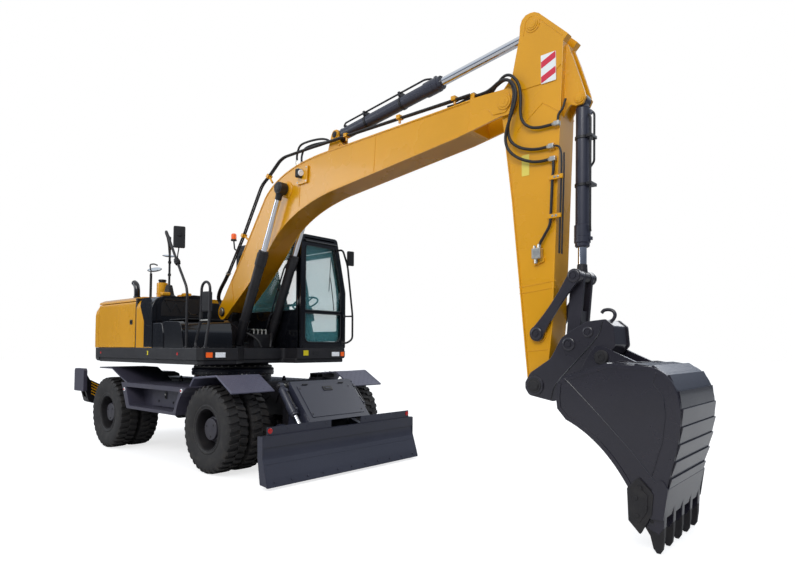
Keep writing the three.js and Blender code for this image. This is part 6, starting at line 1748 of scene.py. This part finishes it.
p.prism(fillet([(5500, 1240), (5700, 1300), (5900, 1375), (5880, 1400), (5640, 1325), (5505, 1280)], 6),
    -470, 470, BUCKET, bevel=3)
# teeth on their adapters
for k in (-2, -1, 0, 1, 2):
    y = k * 228
    adapter = fillet([(6306, 350), (6268, 352), (6128, 300), (6128, 250), (6160, 190), (6262, 150),
        (6296, 200)], [10, 20, 10, 10, 14, 10, 20])
    p.prism(adapter, y - 32, y + 32, BUCKET, bevel=8)
    rings = []
    for low, high, w in (((6150, 205), (6296, 205), 30), ((6196, 130), (6293, 128), 25),
            ((6214, 40), (6282, 40), 17), ((6236, 6), (6262, 6), 9)):
        rings.append([(low[0], y - w, low[1]), (high[0], y - w, high[1]), (high[0], y + w, high[1]),
            (low[0], y + w, low[1])])
    p.loft(rings, CAST, 5)
    p.rod((6215, y - 34, 235), (6215, y + 34, 235), 12, CAST, 20)
p.finish()

# ---------------------------------------------------------------- elbow hoses


def elbow_hose(name, clamp_y, fitting, middle):
    x, z = fitting
    route = [(4420, clamp_y, 4075), (4490, clamp_y, 4075), *middle, (x - 70, PIPE_Y, z),
        (x - 0.3, PIPE_Y, z)]
    line = curve(route, 8)
    p = Part(f"{name}_tube", "boom", "hose_rubber", name)
    p.tube(line, 14, HOSE, 20)
    piece = p.finish(60, keep=True)
    piece.parent = None
    points = [place(q) for q in line]
    total = sum((b - a).length for a, b in zip(points, points[1:]))
    return piece, points, total


HOSES = {"elbow_hose_large": (-98, (5250, 3224), [(4560, -104, 4078), (4640, -130, 4086),
    (4720, -172, 4090), (4800, -210, 4084), (4868, -228, 4058), (4920, -232, 4012), (4950, -232, 3954),
    (4958, -232, 3888), (4948, -232, 3820), (4924, -231, 3750), (4894, -229, 3682), (4864, -226, 3614),
    (4842, -222, 3546), (4836, -216, 3476), (4852, -208, 3408), (4894, -198, 3348), (4954, -187, 3298),
    (5026, -175, 3260), (5102, -167, 3234)]), "elbow_hose_small": (-52, (5235, 3344),
    [(4560, -58, 4084), (4640, -80, 4104), (4716, -110, 4116), (4788, -146, 4108), (4850, -178, 4074),
    (4894, -194, 4018), (4914, -199, 3952), (4914, -199, 3886), (4902, -199, 3820), (4884, -199, 3752),
    (4866, -198, 3682), (4852, -196, 3612), (4852, -192, 3544), (4874, -187, 3480), (4920, -180, 3428),
    (4982, -173, 3388), (5056, -167, 3362), (5110, -165, 3350)]),
    "elbow_hose_loop": (-6, (5290, 3540), [(4560, -20, 4090), (4636, -58, 4122), (4712, -104, 4146),
    (4790, -150, 4148), (4862, -184, 4122), (4922, -198, 4072), (4964, -200, 4006), (4984, -200, 3934),
    (4990, -200, 3862), (4988, -199, 3790), (4986, -197, 3720), (4996, -192, 3654), (5030, -184, 3598),
    (5086, -174, 3560), (5154, -167, 3543)])}
for name, (clamp_y, fitting, middle) in HOSES.items():
    piece, points, total = elbow_hose(name, clamp_y, fitting, middle)
    del piece["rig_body"]
    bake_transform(piece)

# ---------------------------------------------------------------- floor, backdrop and light

sheet = bpy.data.meshes.new("floor")
sheet.from_pydata([(-70, -70, 0), (70, -70, 0), (70, 70, 0), (-70, 70, 0)], [], [(0, 1, 2, 3)])
paper = bpy.data.materials.new("floor_white")
paper.use_nodes = True
nodes, links = paper.node_tree.nodes, paper.node_tree.links
matt = nodes["Principled BSDF"]
matt.inputs["Base Color"].default_value = (0.5, 0.5, 0.5, 1)
matt.inputs["Roughness"].default_value = 0.8
# the camera sees a floor as bright as the backdrop, which keeps only the darkest of the shadow
glow = node(nodes, "Emission", [("Strength", 0.72)])
lit = node(nodes, "AddShader")
seen = node(nodes, "LightPath")
either = node(nodes, "MixShader")
links.new(glow.outputs["Emission"], lit.inputs[0])
links.new(matt.outputs["BSDF"], lit.inputs[1])
links.new(seen.outputs["Is Camera Ray"], either.inputs["Fac"])
links.new(matt.outputs["BSDF"], either.inputs[1])
links.new(lit.outputs["Shader"], either.inputs[2])
links.new(either.outputs["Shader"], nodes["Material Output"].inputs["Surface"])
sheet.materials.append(paper)
floor = bpy.data.objects.new("floor", sheet)
bpy.context.scene.collection.objects.link(floor)

# a soft sky above a dark horizon for everything but the camera, which sees plain white
world = bpy.data.worlds.new("studio")
world.use_nodes = True
bpy.context.scene.world = world
nodes, links = world.node_tree.nodes, world.node_tree.links
where = node(nodes, "TexCoord")
split = node(nodes, "SeparateXYZ")
height = node(nodes, "MapRange", [("From Min", -1)])
sky = node(nodes, "ValToRGB")
stops = sky.color_ramp.elements
stops[0].position, stops[0].color = 0.0, (0.30, 0.30, 0.30, 1)
stops[1].position, stops[1].color = 1.0, (1.0, 1.0, 1.0, 1)
for spot, colour in ((0.46, (0.26, 0.26, 0.27, 1)), (0.50, (0.07, 0.08, 0.10, 1)),
        (0.56, (0.10, 0.12, 0.16, 1)), (0.64, (0.55, 0.62, 0.76, 1)), (0.80, (0.85, 0.92, 1.0, 1))):
    stops.new(spot).color = colour
links.new(where.outputs["Generated"], split.inputs["Vector"])
links.new(split.outputs["Z"], height.inputs["Value"])
links.new(height.outputs["Result"], sky.inputs["Fac"])
background = nodes["Background"]
background.inputs["Strength"].default_value = 0.8
links.new(sky.outputs["Color"], background.inputs["Color"])
white = node(nodes, "Background", [("Color", (1, 1, 1, 1)), ("Strength", 1.0)])
rays = node(nodes, "LightPath")
mixer = node(nodes, "MixShader")
links.new(rays.outputs["Is Camera Ray"], mixer.inputs["Fac"])
links.new(background.outputs["Background"], mixer.inputs[1])
links.new(white.outputs["Background"], mixer.inputs[2])
links.new(mixer.outputs["Shader"], nodes["World Output"].inputs["Surface"])


def area(name, at, target, size, power, colour=(1, 1, 1)):
    light = bpy.data.lights.new(name, "AREA")
    light.shape = "RECTANGLE"
    light.size, light.size_y = size
    light.energy = power
    light.color = colour
    lamp = bpy.data.objects.new(name, light)
    bpy.context.scene.collection.objects.link(lamp)
    lamp.location = at
    lamp.rotation_euler = (Vector(target) - Vector(at)).to_track_quat("-Z", "Y").to_euler()


area("key", (6, -14, 12), (0, 0, 1.5), (9, 6), 1250, (1, 0.98, 0.95))
area("fill", (-12, -12, 6), (-1, 0, 1.5), (8, 6), 420, (0.92, 0.96, 1))
area("rim", (2, 14, 9), (0, 0, 2), (10, 5), 380)
bpy.context.scene.view_settings.view_transform = "Standard"
